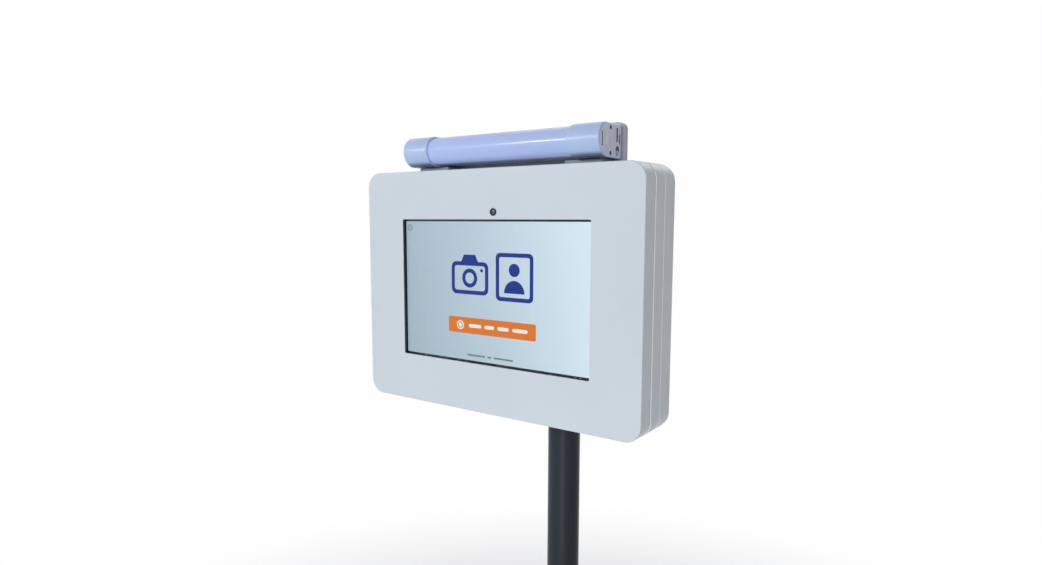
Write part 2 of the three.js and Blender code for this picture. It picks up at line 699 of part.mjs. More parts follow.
/** The collar on the lower tube's mouth, with a boss at the back for the clamp knob. */
function heightCollar() {
  const { radius, bottom, top, knob } = COLLAR;
  const body = join(
    bar(radius, UP, bottom + 6, top, [0, 0, 0], 36),
    bar(radius - 3, UP, bottom, top - 4, [0, 0, 0], 36),
    bar(COLLAR.boss, BACK, radius - 5, radius + COLLAR.bossProud, [0, 0, knob], 20),
  );
  return cut(
    body,
    bar(LOWER_TUBE.radius + GAP, UP, bottom - 1, LOWER_TUBE.top + GAP, [0, 0, 0], 36),
    bar(COLLAR.mouth, UP, LOWER_TUBE.top, top + 1, [0, 0, 0], 36),
    bar(TILT_BOLT_RADIUS + GAP, BACK, 0, radius + COLLAR.bossProud + 1, [0, 0, knob], 20),
  );
}

/** The flanged nylon ring in the collar that the upper tube slides through. */
function collarBush() {
  const { top, knob } = COLLAR;
  const ring = join(
    bar(BUSH.radius, UP, LOWER_TUBE.top + 2 * GAP, top + 1, [0, 0, 0], 36),
    bar(BUSH.flange, UP, top + GAP, top + BUSH.lip, [0, 0, 0], 36),
  );
  return cut(
    ring,
    bar(UPPER_TUBE.radius + GAP, UP, LOWER_TUBE.top - 1, top + 4, [0, 0, 0], 36),
    bar(TILT_BOLT_RADIUS + GAP, BACK, 0, 30, [0, 0, knob], 20),
  );
}

function baseHub() {
  const floor = BASE.pad + BASE.thick + 2 * GAP;
  const { radius, thick, neck, top, screws } = HUB;
  const { clearance, spotFace } = HUB_SCREW;
  const holes = hubScrewPlaces().map(([x, y]) => bar(clearance, UP, 0, top, [x, y, 0], 12));
  const heads = hubScrewPlaces().map(([x, y]) => bar(spotFace, UP, floor + thick, top, [x, y, 0], 16));
  const cone = new THREE.LatheGeometry(
    [
      new THREE.Vector2(0, floor + thick - 1),
      new THREE.Vector2(screws - 8, floor + thick - 1),
      new THREE.Vector2(neck + 2, floor + thick + 8),
      new THREE.Vector2(neck, floor + thick + 14),
      new THREE.Vector2(neck, top - 1),
      new THREE.Vector2(neck - 1, top),
      new THREE.Vector2(0, top),
    ],
    32,
  ).rotateX(Math.PI / 2);
  return cut(
    join(bar(radius, UP, floor, floor + thick, [0, 0, 0], 32), cone),
    bar(LOWER_TUBE.radius + GAP, UP, floor - 1, top + 1, [0, 0, 0], 32),
    ...holes,
    ...heads,
  );
}

function hubScrewPlaces() {
  return [45, 135, 225, 315].map((degrees) => {
    const angle = THREE.MathUtils.degToRad(degrees);
    return [HUB.screws * Math.cos(angle), HUB.screws * Math.sin(angle)];
  });
}

function hubScrew() {
  const floor = BASE.pad + BASE.thick + 2 * GAP + HUB.thick;
  return join(
    bar(HUB_SCREW.shank, UP, BASE.pad + 2, floor + 1, [0, 0, 0], 12),
    bar(HUB_SCREW.head, UP, floor + GAP, floor + HUB_SCREW.headHeight, [0, 0, 0], 16),
  );
}

function basePlate() {
  const low = BASE.pad + GAP;
  const high = low + BASE.thick;
  const hole = ([x, y]) => bar(HUB_SCREW.clearance, UP, low - 1, high + 1, [x, y, 0], 12);
  const outline = roundedRectangle(BASE.size, BASE.size, BASE.radius);
  return cut(lying(outline, low, high, BASE.edge, CORNER_STEPS), ...hubScrewPlaces().map(hole));
}

function basePad() {
  const size = BASE.size - 2 * BASE.padInset;
  const outline = roundedRectangle(size, size, BASE.radius - BASE.padInset);
  return lying(outline, 0, BASE.pad, 0, CORNER_STEPS);
}

function stand() {
  const knobFoot = COLLAR.radius + COLLAR.bossProud + GAP;
  const screws = hubScrewPlaces().map(([x, y], index) =>
    piece(`hub_screw_${index + 1}`, hubScrew(), BLACK_METAL, [x, y, 0]));
  return [
    piece("upper_tube", upperTube(), BLACK_METAL),
    piece("glide_bush", glideBush(), WHITE_PLASTIC),
    piece("lower_tube", lowerTube(), BLACK_METAL),
    piece("height_collar", heightCollar(), BLACK_PLASTIC),
    piece("collar_bush", collarBush(), BLACK_PLASTIC),
    piece("height_knob", clampKnob(HEIGHT_KNOB, knobFoot - UPPER_TUBE.radius - GAP), BLACK_PLASTIC,
      [0, knobFoot, COLLAR.knob]),
    piece("base_hub", baseHub(), BLACK_METAL),
    piece("base_plate", basePlate(), BLACK_METAL),
    piece("base_pad", basePad(), RUBBER),
    ...screws,
  ];
}

// ---- the whole ----------------------------------------------------------------------------

const head = group(
  [0, -POLE_BEHIND_FACE, HEAD_HEIGHT_ABOVE_FLOOR],
  ...headCase(),
  ...tablet(),
  ...tabletFixings(),
  ...lamp(),
  ...bracketOnHead(),
  ...bracketOnPole(),
);

const photoBooth = group([0, 0, 0], head, ...stand());

export default photoBooth;
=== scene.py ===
"""Looks for the tablet photo booth: a layered white head with a screen and a tube lamp, on a black pole.

Lengths are in millimetres in two places, the head's own (x, depth behind the face, height above its
middle) and the floor's, and every mesh is turned into metres in the CAD frame as it is made. Only the
camera, the lights and the studio floor are in metres.
"""
import math

import bmesh
import bpy
from mathutils import Matrix, Vector


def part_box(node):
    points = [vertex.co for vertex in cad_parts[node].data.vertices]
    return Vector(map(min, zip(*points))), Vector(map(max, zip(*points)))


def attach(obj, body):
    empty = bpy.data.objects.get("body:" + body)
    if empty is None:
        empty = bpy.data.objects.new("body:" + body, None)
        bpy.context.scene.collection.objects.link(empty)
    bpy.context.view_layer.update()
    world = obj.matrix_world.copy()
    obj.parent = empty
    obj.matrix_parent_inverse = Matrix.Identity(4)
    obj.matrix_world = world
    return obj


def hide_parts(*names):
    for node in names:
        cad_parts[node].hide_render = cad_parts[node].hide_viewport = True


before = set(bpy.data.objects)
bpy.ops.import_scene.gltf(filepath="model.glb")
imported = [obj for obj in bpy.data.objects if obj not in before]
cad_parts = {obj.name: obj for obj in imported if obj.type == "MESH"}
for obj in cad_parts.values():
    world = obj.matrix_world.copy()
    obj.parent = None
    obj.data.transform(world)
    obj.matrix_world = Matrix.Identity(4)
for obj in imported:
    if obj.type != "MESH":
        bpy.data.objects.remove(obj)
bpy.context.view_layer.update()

MM = 0.001

face_low, face_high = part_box("front_frame")
FACE = Vector(((face_low.x + face_high.x) / 2, face_low.y, (face_low.z + face_high.z) / 2))
HEAD = Matrix.Translation(FACE) @ Matrix.Scale(MM, 4)
FLOOR = Matrix.Scale(MM, 4)
POLE_DEPTH = -FACE.y / MM  # the pole stands on the frame's middle, this far behind the face

X_AXIS = (1, 0, 0)
Y_AXIS = (0, 1, 0)
Z_AXIS = (0, 0, 1)


def head_box(node):
    """A CAD node's lowest and highest corners, in millimetres from the middle of the head's face."""
    low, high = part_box(node)
    return (low - FACE) / MM, (high - FACE) / MM


def head_middle(node):
    low, high = head_box(node)
    return (low + high) / 2


def floor_box(node):
    low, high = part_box(node)
    return low / MM, high / MM


def floor_radius(node):
    """The outer radius of an upright tube."""
    low, high = floor_box(node)
    return (high.x - low.x) / 2


def corners(x, y):
    return [(sx * x, sy * y) for sx in (-1, 1) for sy in (-1, 1)]


# ---- camera ----

CAMERA_PLACE = (392.6, -512.6, 70.1)  # from the middle of the face
CAMERA_ANGLES = (90 - 6.18, -0.23, 33.93)
LENS = 22.84
SHIFT = (-0.0073, 0.0104)


def make_camera():
    data = bpy.data.cameras.new("camera")
    data.sensor_width = 36
    data.lens = LENS
    data.shift_x, data.shift_y = SHIFT
    camera = linked("camera", data)
    camera.location = HEAD @ Vector(CAMERA_PLACE)
    camera.rotation_euler = [math.radians(angle) for angle in CAMERA_ANGLES]
    bpy.context.scene.camera = camera


# ---- mesh helpers ----

def linked(name, data):
    made = bpy.data.objects.new(name, data)
    bpy.context.scene.collection.objects.link(made)
    return made


def smooth(obj, angle):
    mesh = obj.data
    mesh.polygons.foreach_set("use_smooth", [True] * len(mesh.polygons))
    mesh.set_sharp_from_angle(angle=math.radians(angle))


def from_rows(name, points, faces):
    mesh = bpy.data.meshes.new(name)
    mesh.from_pydata(points, [], faces)
    mesh.update()
    return linked(name, mesh)


def fill_in(obj, matrix):
    """Bakes a placing matrix into the mesh, welds it and turns its faces outwards."""
    work = bmesh.new()
    work.from_mesh(obj.data)
    work.transform(matrix)
    bmesh.ops.remove_doubles(work, verts=work.verts, dist=2e-6)
    bmesh.ops.recalc_face_normals(work, faces=work.faces)
    work.to_mesh(obj.data)
    work.free()
    return obj


def arc(x, y, radius, start, end, steps):
    """Points along an arc, both ends included, by angles in degrees."""
    angles = [math.radians(start + (end - start) * i / steps) for i in range(steps + 1)]
    return [(x + radius * math.cos(a), y + radius * math.sin(a)) for a in angles]


def circle(radius, x=0, y=0, steps=32):
    return arc(x, y, radius, 0, 360, steps)[:-1]


def rectangle(width, height, radius, x=0, y=0, steps=14):
    """A rounded rectangle as a counter-clockwise list of points."""
    points = []
    for turn, (sx, sy) in enumerate([(1, -1), (1, 1), (-1, 1), (-1, -1)]):
        corner = (x + sx * (width / 2 - radius), y + sy * (height / 2 - radius))
        points += arc(*corner, radius, 90 * (turn - 1), 90 * turn, steps)
    return points


PLANES = {
    # the two axes that an outline is drawn in, the third axis, and which way the outline faces along it
    "XZ": (0, 2, 1, -1),
    "YZ": (1, 2, 0, 1),
    "XY": (0, 1, 2, 1),
}


def plane_matrix(plane, middle):
    u, v, n, way = PLANES[plane]
    matrix = Matrix.Diagonal((0, 0, 0, 1))
    matrix[u][0] = 1
    matrix[v][1] = 1
    matrix[n][2] = way
    matrix[n][3] = middle
    return matrix


def plate(name, outlines, low, high, plane="XZ", edge=0.8, place=HEAD, rounds=3):
    """A plate with rounded rims: the first outline is its edge, and the others are holes."""
    curve = bpy.data.curves.new(name, "CURVE")
    curve.dimensions = "2D"
    curve.fill_mode = "BOTH"
    curve.extrude = (high - low) / 2 - edge
    curve.bevel_depth = edge
    curve.bevel_resolution = rounds
    curve.offset = -edge
    for index, outline in enumerate(outlines):
        points = outline if index == 0 else list(reversed(outline))
        spline = curve.splines.new("POLY")
        spline.points.add(len(points) - 1)
        for point, (x, y) in zip(spline.points, points):
            point.co = (x, y, 0, 1)
        spline.use_cyclic_u = True
    holder = linked(name + "_outline", curve)
    mesh = evaluated_mesh(holder)
    bpy.data.objects.remove(holder)
    return fill_in(linked(name, mesh), place @ plane_matrix(plane, (low + high) / 2))


def block(name, low, high, edge, plane="XZ"):
    """A box in the head, with rounded edges all round its outline in a plane."""
    u, v, n = PLANES[plane][:3]
    middle = ((low[u] + high[u]) / 2, (low[v] + high[v]) / 2)
    outline = rectangle(high[u] - low[u], high[v] - low[v], edge, *middle, 4)
    return plate(name, [outline], low[n], high[n], plane, edge)


CORNER = 16


def board(name, low, high, front, back, proud=0.0):
    """A board of the case's outline, its front and back edges rounded to their own radii."""
    width, height = high.x - low.x + 2 * proud, high.z - low.z + 2 * proud
    rings = [(front + 0.1, low.y), *arc(front, low.y + front, front, -90, -180, 6)]
    rings += [(0, low.y + front + 0.1), (0, high.y - back - 0.1)]
    rings += [*arc(back, high.y - back, back, 180, 90, 4), (back + 0.1, high.y)]
    points, faces = [], []
    for inset, depth in rings:
        outline = rectangle(width - 2 * inset, height - 2 * inset, CORNER + proud - inset, steps=18)
        points += [(x, depth, z) for x, z in outline]
    count = len(outline)
    for start in range(0, len(points) - count, count):
        for i in range(count):
            a, b = start + i, start + (i + 1) % count
            faces.append((a, b, b + count, a + count))
    faces.append(tuple(reversed(range(count))))
    faces.append(tuple(range(len(points) - count, len(points))))
    return fill_in(from_rows(name, points, faces), HEAD)


def axis_matrix(axis, origin):
    turn = Vector(Z_AXIS).rotation_difference(Vector(axis)).to_matrix().to_4x4()
    return Matrix.Translation(origin) @ turn


def rounded(profile, steps=4):
    """A lathe profile of (radius, height) corners, each with an optional fillet, as plain points."""
    points = []
    for i, corner in enumerate(profile):
        fillet = corner[2] if len(corner) > 2 else 0
        here = Vector(corner[:2])
        if not fillet or i in (0, len(profile) - 1):
            points.append(here)
            continue
        before = (Vector(profile[i - 1][:2]) - here).normalized()
        after = (Vector(profile[i + 1][:2]) - here).normalized()
        half = before.angle(after) / 2
        reach = fillet / math.tan(half)
        centre = here + (before + after).normalized() * (fillet / math.sin(half))
        start = here + before * reach - centre
        end = here + after * reach - centre
        for k in range(steps + 1):
            points.append(centre + start.lerp(end, k / steps).normalized() * fillet)
    return points


def lathe(name, profile, axis=Z_AXIS, origin=(0, 0, 0), place=HEAD, around=64, steps=4, lobes=None):
    """Turns a profile round an axis. One that starts and ends off the axis closes on itself.

    lobes=(count, depth) scallops the widest part, as on a hand knob.
    """
    line = rounded(profile, steps)
    closed = line[0][0] > 1e-6
    if closed and (line[0] - line[-1]).length < 1e-6:
        line.pop()
    widest = max(point[0] for point in line)
    rings, points, faces = [], [], []
    for r, h in line:
        if r < 1e-6:
            rings.append([len(points)])
            points.append((0, 0, h))
            continue
        rings.append(list(range(len(points), len(points) + around)))
        for i in range(around):
            a = 2 * math.pi * i / around
            scallop = 0
            if lobes:
                scallop = lobes[1] * (r / widest) ** 4 * (1 - math.cos(lobes[0] * a)) / 2
            points.append((r * (1 - scallop) * math.cos(a), r * (1 - scallop) * math.sin(a), h))
    for a, b in list(zip(rings, rings[1:])) + ([(rings[-1], rings[0])] if closed else []):
        if len(a) == len(b) == 1:
            continue
        for i in range(around):
            j = (i + 1) % around
            if len(a) == 1:
                faces.append((a[0], b[j], b[i]))
            elif len(b) == 1:
                faces.append((a[i], a[j], b[0]))
            else:
                faces.append((a[i], a[j], b[j], b[i]))
    return fill_in(from_rows(name, points, faces), place @ axis_matrix(axis, origin))


def tube(name, outer, inner, low, high, axis=Z_AXIS, origin=(0, 0, 0), place=HEAD, edge=0.5, around=64):
    """A plain pipe with eased ends."""
    middle = (inner, (low + high) / 2)
    rim = [(inner, low, edge), (outer, low, edge), (outer, high, edge), (inner, high, edge)]
    return lathe(name, [middle, *rim, middle], axis, origin, place, around)


def rod(name, radius, low, high, axis, origin, place=HEAD, around=40):
    profile = [(0, low), (radius, low, 0.3), (radius, high, 0.3), (0, high)]
    return lathe(name, profile, axis, origin, place, around)


def evaluated_mesh(obj):
    bpy.context.view_layer.update()
    view = obj.evaluated_get(bpy.context.evaluated_depsgraph_get())
    return bpy.data.meshes.new_from_object(view)


def take_modifiers(obj):
    """Replaces an object's mesh by what its modifiers make of it."""
    mesh = evaluated_mesh(obj)
    obj.modifiers.clear()
    old = obj.data
    obj.data = mesh
    bpy.data.meshes.remove(old)
    mesh.name = obj.name


def combine(obj, others, operation="DIFFERENCE"):
    """Cuts the others out of obj, or joins them to it, and deletes them."""
    for other in others:
        step = obj.modifiers.new("cut", "BOOLEAN")
        step.operation = operation
        step.solver = "EXACT"
        step.object = other
        take_modifiers(obj)
        bpy.data.objects.remove(other)


def melt(obj, size, rounds=8):
    """Runs an object's joins together into the soft fillets of a casting."""
    grow = obj.modifiers.new("grow", "REMESH")
    grow.mode = "VOXEL"
    grow.voxel_size = size * MM
    ease = obj.modifiers.new("ease", "SMOOTH")
    ease.factor = 0.5
    ease.iterations = rounds
    take_modifiers(obj)


# ---- materials ----

class Nodes:
    """A node tree, with short ways to add and join nodes and to rescale and blend values."""

    def __init__(self, tree):
        self.tree = tree

    def node(self, kind, **values):
        made = self.tree.nodes.new(kind)
        for key, value in values.items():
            if hasattr(made, key):
                setattr(made, key, value)
            else:
                made.inputs[key.replace("_", " ")].default_value = value
        return made

    def join(self, a, b):
        self.tree.links.new(a, b)

    def place(self, kind):
        return self.node("ShaderNodeTexCoord").outputs[kind]

    def along(self, kind, axis):
        """One axis of a place or a direction."""
        split = self.node("ShaderNodeSeparateXYZ")
        self.join(self.place(kind), split.inputs["Vector"])
        return split.outputs[axis]

    def rescaled(self, value, start, end, low=0.0, high=1.0, **values):
        """A value that runs from start to end, made to run from low to high."""
        made = self.node("ShaderNodeMapRange", From_Min=start, From_Max=end, To_Min=low, To_Max=high,
                         **values)
        self.join(value, made.inputs["Value"])
        return made.outputs["Result"]

    def blended(self, factor, first, second):
        """Goes from the first colour to the second. Each is a colour or a socket."""
        mix = self.node("ShaderNodeMix", data_type="RGBA")
        self.join(factor, mix.inputs["Factor"])
        sockets = [socket for socket in mix.inputs if socket.type == "RGBA"]
        for socket, value in zip(sockets, (first, second)):
            if isinstance(value, bpy.types.NodeSocket):
                self.join(value, socket)
            else:
                socket.default_value = (*value, 1)
        return [socket for socket in mix.outputs if socket.type == "RGBA"][0]

    def multiplied(self, value, factor, added=0.0):
        made = self.node("ShaderNodeMath", operation="MULTIPLY_ADD")
        self.join(value, made.inputs[0])
        made.inputs[1].default_value = factor
        if isinstance(added, bpy.types.NodeSocket):
            self.join(added, made.inputs[2])
        else:
            made.inputs[2].default_value = added
        return made.outputs["Value"]


EVEN = (1, 1, 1)
NOISE_RANGE = (0.3, 0.7)  # where nearly all of a noise texture's values lie


class Look(Nodes):
    """A Principled material with object-space noise in its colour, roughness and relief."""

    def __init__(self, name, color, roughness, metallic=0.0, **sockets):
        self.material = bpy.data.materials.new(name)
        self.material.use_nodes = True
        super().__init__(self.material.node_tree)
        self.shader = self.tree.nodes["Principled BSDF"]
        self.color = color
        self.roughness = roughness
        self.set(Base_Color=(*color, 1), Roughness=roughness, Metallic=metallic, **sockets)

    def set(self, **sockets):
        for socket, value in sockets.items():
            self.shader.inputs[socket.replace("_", " ")].default_value = value

    def drive(self, socket, value):
        self.join(value, self.shader.inputs[socket])
        return self

    def noise(self, size, detail=2.0, stretch=EVEN):
        """Noise whose lumps are about size millimetres across."""
        made = self.node("ShaderNodeTexNoise", Scale=1 / (size * MM), Detail=detail, Roughness=0.5)
        mapping = self.node("ShaderNodeMapping", Scale=stretch)
        self.join(self.place("Object"), mapping.inputs["Vector"])
        self.join(mapping.outputs["Vector"], made.inputs["Vector"])
        return made.outputs["Fac"]

    def tint(self, size, amount, detail=3.0, stretch=EVEN):
        """Lets the colour drift between a darker and a lighter tone."""
        dark = [c * (1 - amount) for c in self.color]
        light = [min(c * (1 + amount), 1) for c in self.color]
        drift = self.rescaled(self.noise(size, detail, stretch), *NOISE_RANGE)
        return self.drive("Base Color", self.blended(drift, dark, light))

    def sheen_spots(self, size, amount, detail=2.0, stretch=EVEN):
        """Lets the roughness vary, as smudges and handling do."""
        spread = (self.roughness - amount, self.roughness + amount)
        value = self.rescaled(self.noise(size, detail, stretch), *NOISE_RANGE, *spread)
        return self.drive("Roughness", value)

    def relief(self, size, depth, detail=2.0, stretch=EVEN):
        """Fine relief, on top of any before it: lumps of a size in millimetres, depth in micrometres."""
        bump = self.node("ShaderNodeBump", Strength=1.0, Distance=depth * 1e-6)
        self.join(self.noise(size, detail, stretch), bump.inputs["Height"])
        for link in self.shader.inputs["Normal"].links:
            self.join(link.from_socket, bump.inputs["Normal"])
        return self.drive("Normal", bump.outputs["Normal"])

    def turned_under(self, start, end):
        """0 to 1 as the upward part of the surface's normal falls from start to end."""
        up = self.along("Normal", "Z")
        return self.rescaled(up, end, start, 1.0, 0.0, interpolation_type="SMOOTHSTEP")

    def painted_underside_shade(self, start, end, color):
        """Paints shade into the colour, darkening it where the surface turns under."""
        above = self.shader.inputs["Base Color"].links[0].from_socket
        return self.drive("Base Color", self.blended(self.turned_under(start, end), above, color))


def white_board():
    """Sprayed satin lacquer over a routed board: a faint orange peel and soft handling marks."""
    look = Look("white_board_lacquer", (0.735, 0.800, 0.850), 0.42, IOR=1.46)
    return look.tint(90, 0.018).sheen_spots(35, 0.05, 4.0).relief(2.4, 9.0).relief(0.35, 1.6, 1.0)


def board_edge():
    """Painted highlight: the lacquered arris where one board stands a hair proud of the next, given a faint
    glow so it reads as a bright line.
    """
    look = Look("board_edge_lacquer", (0.80, 0.82, 0.83), 0.35, IOR=1.46,
                Emission_Color=(1.0, 0.985, 0.97, 1), Emission_Strength=0.16)
    return look.tint(60, 0.04).sheen_spots(20, 0.05)


def lamp_white():
    look = Look("lamp_moulded_white", (0.55, 0.69, 1.0), 0.28, IOR=1.5, Specular_IOR_Level=0.38)
    look.tint(40, 0.02).sheen_spots(14, 0.03, 4.0).relief(1.2, 2.0)
    # Painted shade: the caps' colour darkens to near black where the moulding turns under.
    return look.painted_underside_shade(-0.65, -1.0, (0.12, 0.14, 0.18))


def lamp_grey():
    """Spark-eroded grey moulding."""
    look = Look("lamp_spark_grey", (0.60, 0.62, 0.71), 0.55)
    return look.tint(25, 0.03).sheen_spots(6, 0.06).relief(0.35, 10.0)


# Painted light: a lighter, greyer copy of the caps' white for their end faces, which sit in shade.
def cap_face_lightened():
    return Look("cap_face_painted_light", (0.77, 0.81, 0.97), 0.5).tint(18, 0.03).sheen_spots(5, 0.06).relief(0.3, 8.0)


# Painted shade: a dark grey for what is sunk into the caps' end faces.
def painted_recess_shade():
    return Look("recess_painted_shade", (0.30, 0.32, 0.37), 0.6).tint(6, 0.1).sheen_spots(3, 0.05).relief(0.3, 8.0)


# Painted shade: a dark grey for the feet, standing for the shadow the lamp casts on them.
def lamp_foot():
    look = Look("foot_painted_shade", (0.34, 0.375, 0.42), 0.55)
    return look.tint(10, 0.06).sheen_spots(5, 0.05).relief(0.35, 10.0)


# The span of the normal's upward part over which painted shade darkens the cover's underside and dims its
# glow.
OPAL_PAINTED_SHADE_SPAN = (-0.92, -1.03)
# Painted glow: the cover emits faintly though the lamp is off, and less where it turns under.
OPAL_PAINTED_GLOW, PAINTED_SHADE_GLOW_CUT = 0.20, 0.18
GLOSS_START, GLOSS_FULL = 0.0, 0.045  # along X, in metres


def opal():
    """Frosted opal acrylic: milky, glossiest towards the right, with faint extrusion lines along X, a painted
    glow and painted shade where it turns under.
    """
    look = Look("opal_cover", (0.40, 0.50, 0.79), 0.4, IOR=1.49, Specular_IOR_Level=0.15,
                Coat_Roughness=0.16, Coat_IOR=1.5, Subsurface_Weight=0.25, Subsurface_Scale=0.004,
                Subsurface_Radius=EVEN, Emission_Color=(0.56, 0.66, 0.98, 1))
    glow = look.multiplied(look.turned_under(*OPAL_PAINTED_SHADE_SPAN), -PAINTED_SHADE_GLOW_CUT, OPAL_PAINTED_GLOW)
    look.drive("Emission Strength", glow)
    look.drive("Coat Weight", look.rescaled(look.along("Object", "X"), GLOSS_START, GLOSS_FULL, 0.1, 1.0))
    look.tint(60, 0.02).sheen_spots(18, 0.05, 3.0).relief(0.8, 0.25, 2.0, (0.03, 1, 1))
    return look.painted_underside_shade(*OPAL_PAINTED_SHADE_SPAN, (0.24, 0.29, 0.34))


def powder_coat():
    """Black powder coat: a tight pebble, slightly blue, with dust in the hollows."""
    look = Look("powder_coat_black", (0.022, 0.026, 0.034), 0.46, IOR=1.5)
    return look.tint(60, 0.16).sheen_spots(20, 0.07, 4.0).relief(0.55, 14.0).relief(2.2, 10.0, 1.0)


def tube_paint():
    """The pole's finer satin paint, with faint rub marks that run down it."""
    look = Look("tube_paint_black", (0.030, 0.037, 0.050), 0.42, IOR=1.5, Specular_IOR_Level=0.25)
    return look.tint(50, 0.14, 3.0, (1, 1, 0.12)).sheen_spots(9, 0.08, 5.0, (1, 1, 0.05)).relief(0.4, 5.0)


def cast_black():
    look = Look("cast_black", (0.024, 0.026, 0.031), 0.5)
    return look.tint(20, 0.15).sheen_spots(9, 0.08, 4.0).relief(0.7, 22.0, 3.0).relief(4.0, 20.0, 1.0)


def black_plastic():
    """Fine-grained black nylon moulding."""
    look = Look("black_nylon", (0.019, 0.019, 0.021), 0.5)
    return look.tint(15, 0.18).sheen_spots(6, 0.07, 3.0).relief(0.28, 14.0)


def black_screw():
    look = Look("black_oxide_steel", (0.055, 0.055, 0.06), 0.34, 0.85)
    return look.tint(3, 0.25).sheen_spots(1.5, 0.1, 3.0).relief(0.2, 3.0)


def bright_steel():
    look = Look("zinc_steel", (0.58, 0.58, 0.60), 0.3, 1.0)
    return look.tint(4, 0.1).sheen_spots(2, 0.1, 3.0).relief(0.4, 3.0, 2.0, (1, 0.1, 1))


def tablet_aluminium():
    look = Look("blasted_aluminium", (0.40, 0.42, 0.45), 0.38, 1.0)
    return look.tint(20, 0.05).sheen_spots(8, 0.05).relief(0.12, 3.0)


def white_nylon():
    look = Look("nylon_white", (0.72, 0.71, 0.67), 0.45, Subsurface_Weight=0.1, Subsurface_Scale=0.001)
    return look.tint(8, 0.05).sheen_spots(4, 0.06).relief(0.5, 6.0)


def black_rubber():
    look = Look("rubber_black", (0.022, 0.022, 0.023), 0.8)
    return look.tint(25, 0.2).sheen_spots(8, 0.06).relief(0.9, 40.0)


def grey_foam():
    return Look("foam_grey", (0.06, 0.06, 0.065), 0.95).tint(6, 0.2).relief(0.8, 120.0, 3.0)


def circuit_board():
    look = Look("solder_mask", (0.02, 0.10, 0.055), 0.35)
    return look.tint(4, 0.35, 2.0, (1, 1, 0.3)).sheen_spots(3, 0.08).relief(1.6, 25.0)


def battery_wrap():
    look = Look("battery_wrap", (0.06, 0.065, 0.075), 0.4)
    return look.tint(12, 0.15).sheen_spots(6, 0.08).relief(3.0, 30.0)


def cover_glass():
    look = Look("cover_glass", (0.98, 0.99, 0.99), 0.02, IOR=1.3, Transmission_Weight=1.0)
    return look.sheen_spots(30, 0.012, 4.0)


def black_print():
    return Look("black_print", (0.016, 0.023, 0.031), 0.35).tint(20, 0.2).sheen_spots(12, 0.04)


def lens_glass():
    """A small coated lens: dark, with a cool bloom."""
    look = Look("lens_glass", (0.088, 0.100, 0.132), 0.3, IOR=1.5, Coat_Weight=0.6, Coat_Roughness=0.1)
    return look.tint(2.0, 0.5).sheen_spots(1.0, 0.03)


DISPLAY_DARK = (0.370, 0.490, 0.575)
DISPLAY_MIDDLE = (0.525, 0.655, 0.755)
DISPLAY_LIGHT = (0.730, 0.910, 1.000)
DISPLAY_STRENGTH = 0.88
DISPLAY_LEAN = 0.08  # how much of the wash goes up rather than across


def lit_panel():
    """The lit display: a cool wash that rises from the lower left to the upper right."""
    look = Look("display_wash", (0.03, 0.035, 0.04), 0.4, Emission_Strength=DISPLAY_STRENGTH)
    low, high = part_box("tablet_display")
    across = look.rescaled(look.along("Object", "X"), low.x, high.x)
    up = look.rescaled(look.along("Object", "Z"), low.z, high.z)
    total = look.multiplied(across, 1 - DISPLAY_LEAN, look.multiplied(up, DISPLAY_LEAN))
    ramp = look.node("ShaderNodeValToRGB")
    ramp.color_ramp.elements[0].color = (*DISPLAY_DARK, 1)
    ramp.color_ramp.elements[1].color = (*DISPLAY_LIGHT, 1)
    ramp.color_ramp.elements.new(0.5).color = (*DISPLAY_MIDDLE, 1)
    look.join(total, ramp.inputs["Fac"])
    return look.drive("Emission Color", ramp.outputs["Color"]).sheen_spots(40, 0.05)


def printed(name, color, strength):
    """A picture element on the display, lit as the wash round it is."""
    look = Look(name, [c * 0.1 for c in color], 0.5, Specular_IOR_Level=0.03,
                Emission_Color=(*color, 1), Emission_Strength=strength)
    return look.sheen_spots(20, 0.04)


LOOKS = {make.__name__: make() for make in (
    white_board, board_edge, lamp_white, lamp_grey, cap_face_lightened, painted_recess_shade, lamp_foot, opal, powder_coat,
    tube_paint, cast_black, black_plastic, black_screw, bright_steel, tablet_aluminium, white_nylon,
    black_rubber, grey_foam, circuit_board, battery_wrap, cover_glass, black_print, lens_glass, lit_panel)}
LOOKS["blue"] = printed("display_blue", (0.006, 0.032, 0.27), 0.9)
LOOKS["orange"] = printed("display_orange", (0.74, 0.190, 0.020), 0.92)
LOOKS["white"] = printed("display_white", (0.90, 0.88, 0.84), 0.9)
LOOKS["grey"] = printed("display_grey", (0.17, 0.22, 0.26), 0.9)


def give_looks(mesh, *looks):
    mesh.materials.clear()
    for look in looks:
        mesh.materials.append(LOOKS[look].material)


def dress(obj, look, body, slot, *nodes, angle=32):
    """Gives a piece its material and smooth shading, its body and the CAD nodes it stands for. Its slot is
    not used.
    """
    give_looks(obj.data, look)
    smooth(obj, angle)
    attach(obj, body)
    if nodes:
        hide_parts(*nodes)


def paint_node(look, *nodes):
    for node in nodes:
        give_looks(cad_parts[node].data, look)


# ---- the head's case ----

SCREEN_OPENING = (227.4, 144.4)
OPENING_CORNER = 1.8
GLASS_POCKET = (252.5, 172.5)
RIMS = (
    # CAD node, the size of the hole through it, and how far it stands proud of the front board
    ("middle_frame", (270, 190), 0.7),
    ("rear_frame", (290, 205), 1.0),
)
NOTCH = (119, 138, 8)  # the charge port's: from x, to x, and half its height
LENS_HOLE = 3.6
GLAND_HOLE = 6.3
BOLT_HOLE = 3.4
MOUNT_HOLES = corners(50, 50)
CASE_SCREWS = corners(155, 75) + corners(95, 112)
VENT_FIRST, VENT_PITCH, VENT_COUNT = 90, 8, 6
VENT_WIDTH, VENT_LENGTH, VENT_MIDDLE = 3, 40, 50
SEAM = 0.12
BEHIND_THE_CASE = 70


def through(outline, high=BEHIND_THE_CASE):
    """A prism to cut from in front of the face, through to a depth."""
    return plate("through", [outline], -5, high, edge=0)


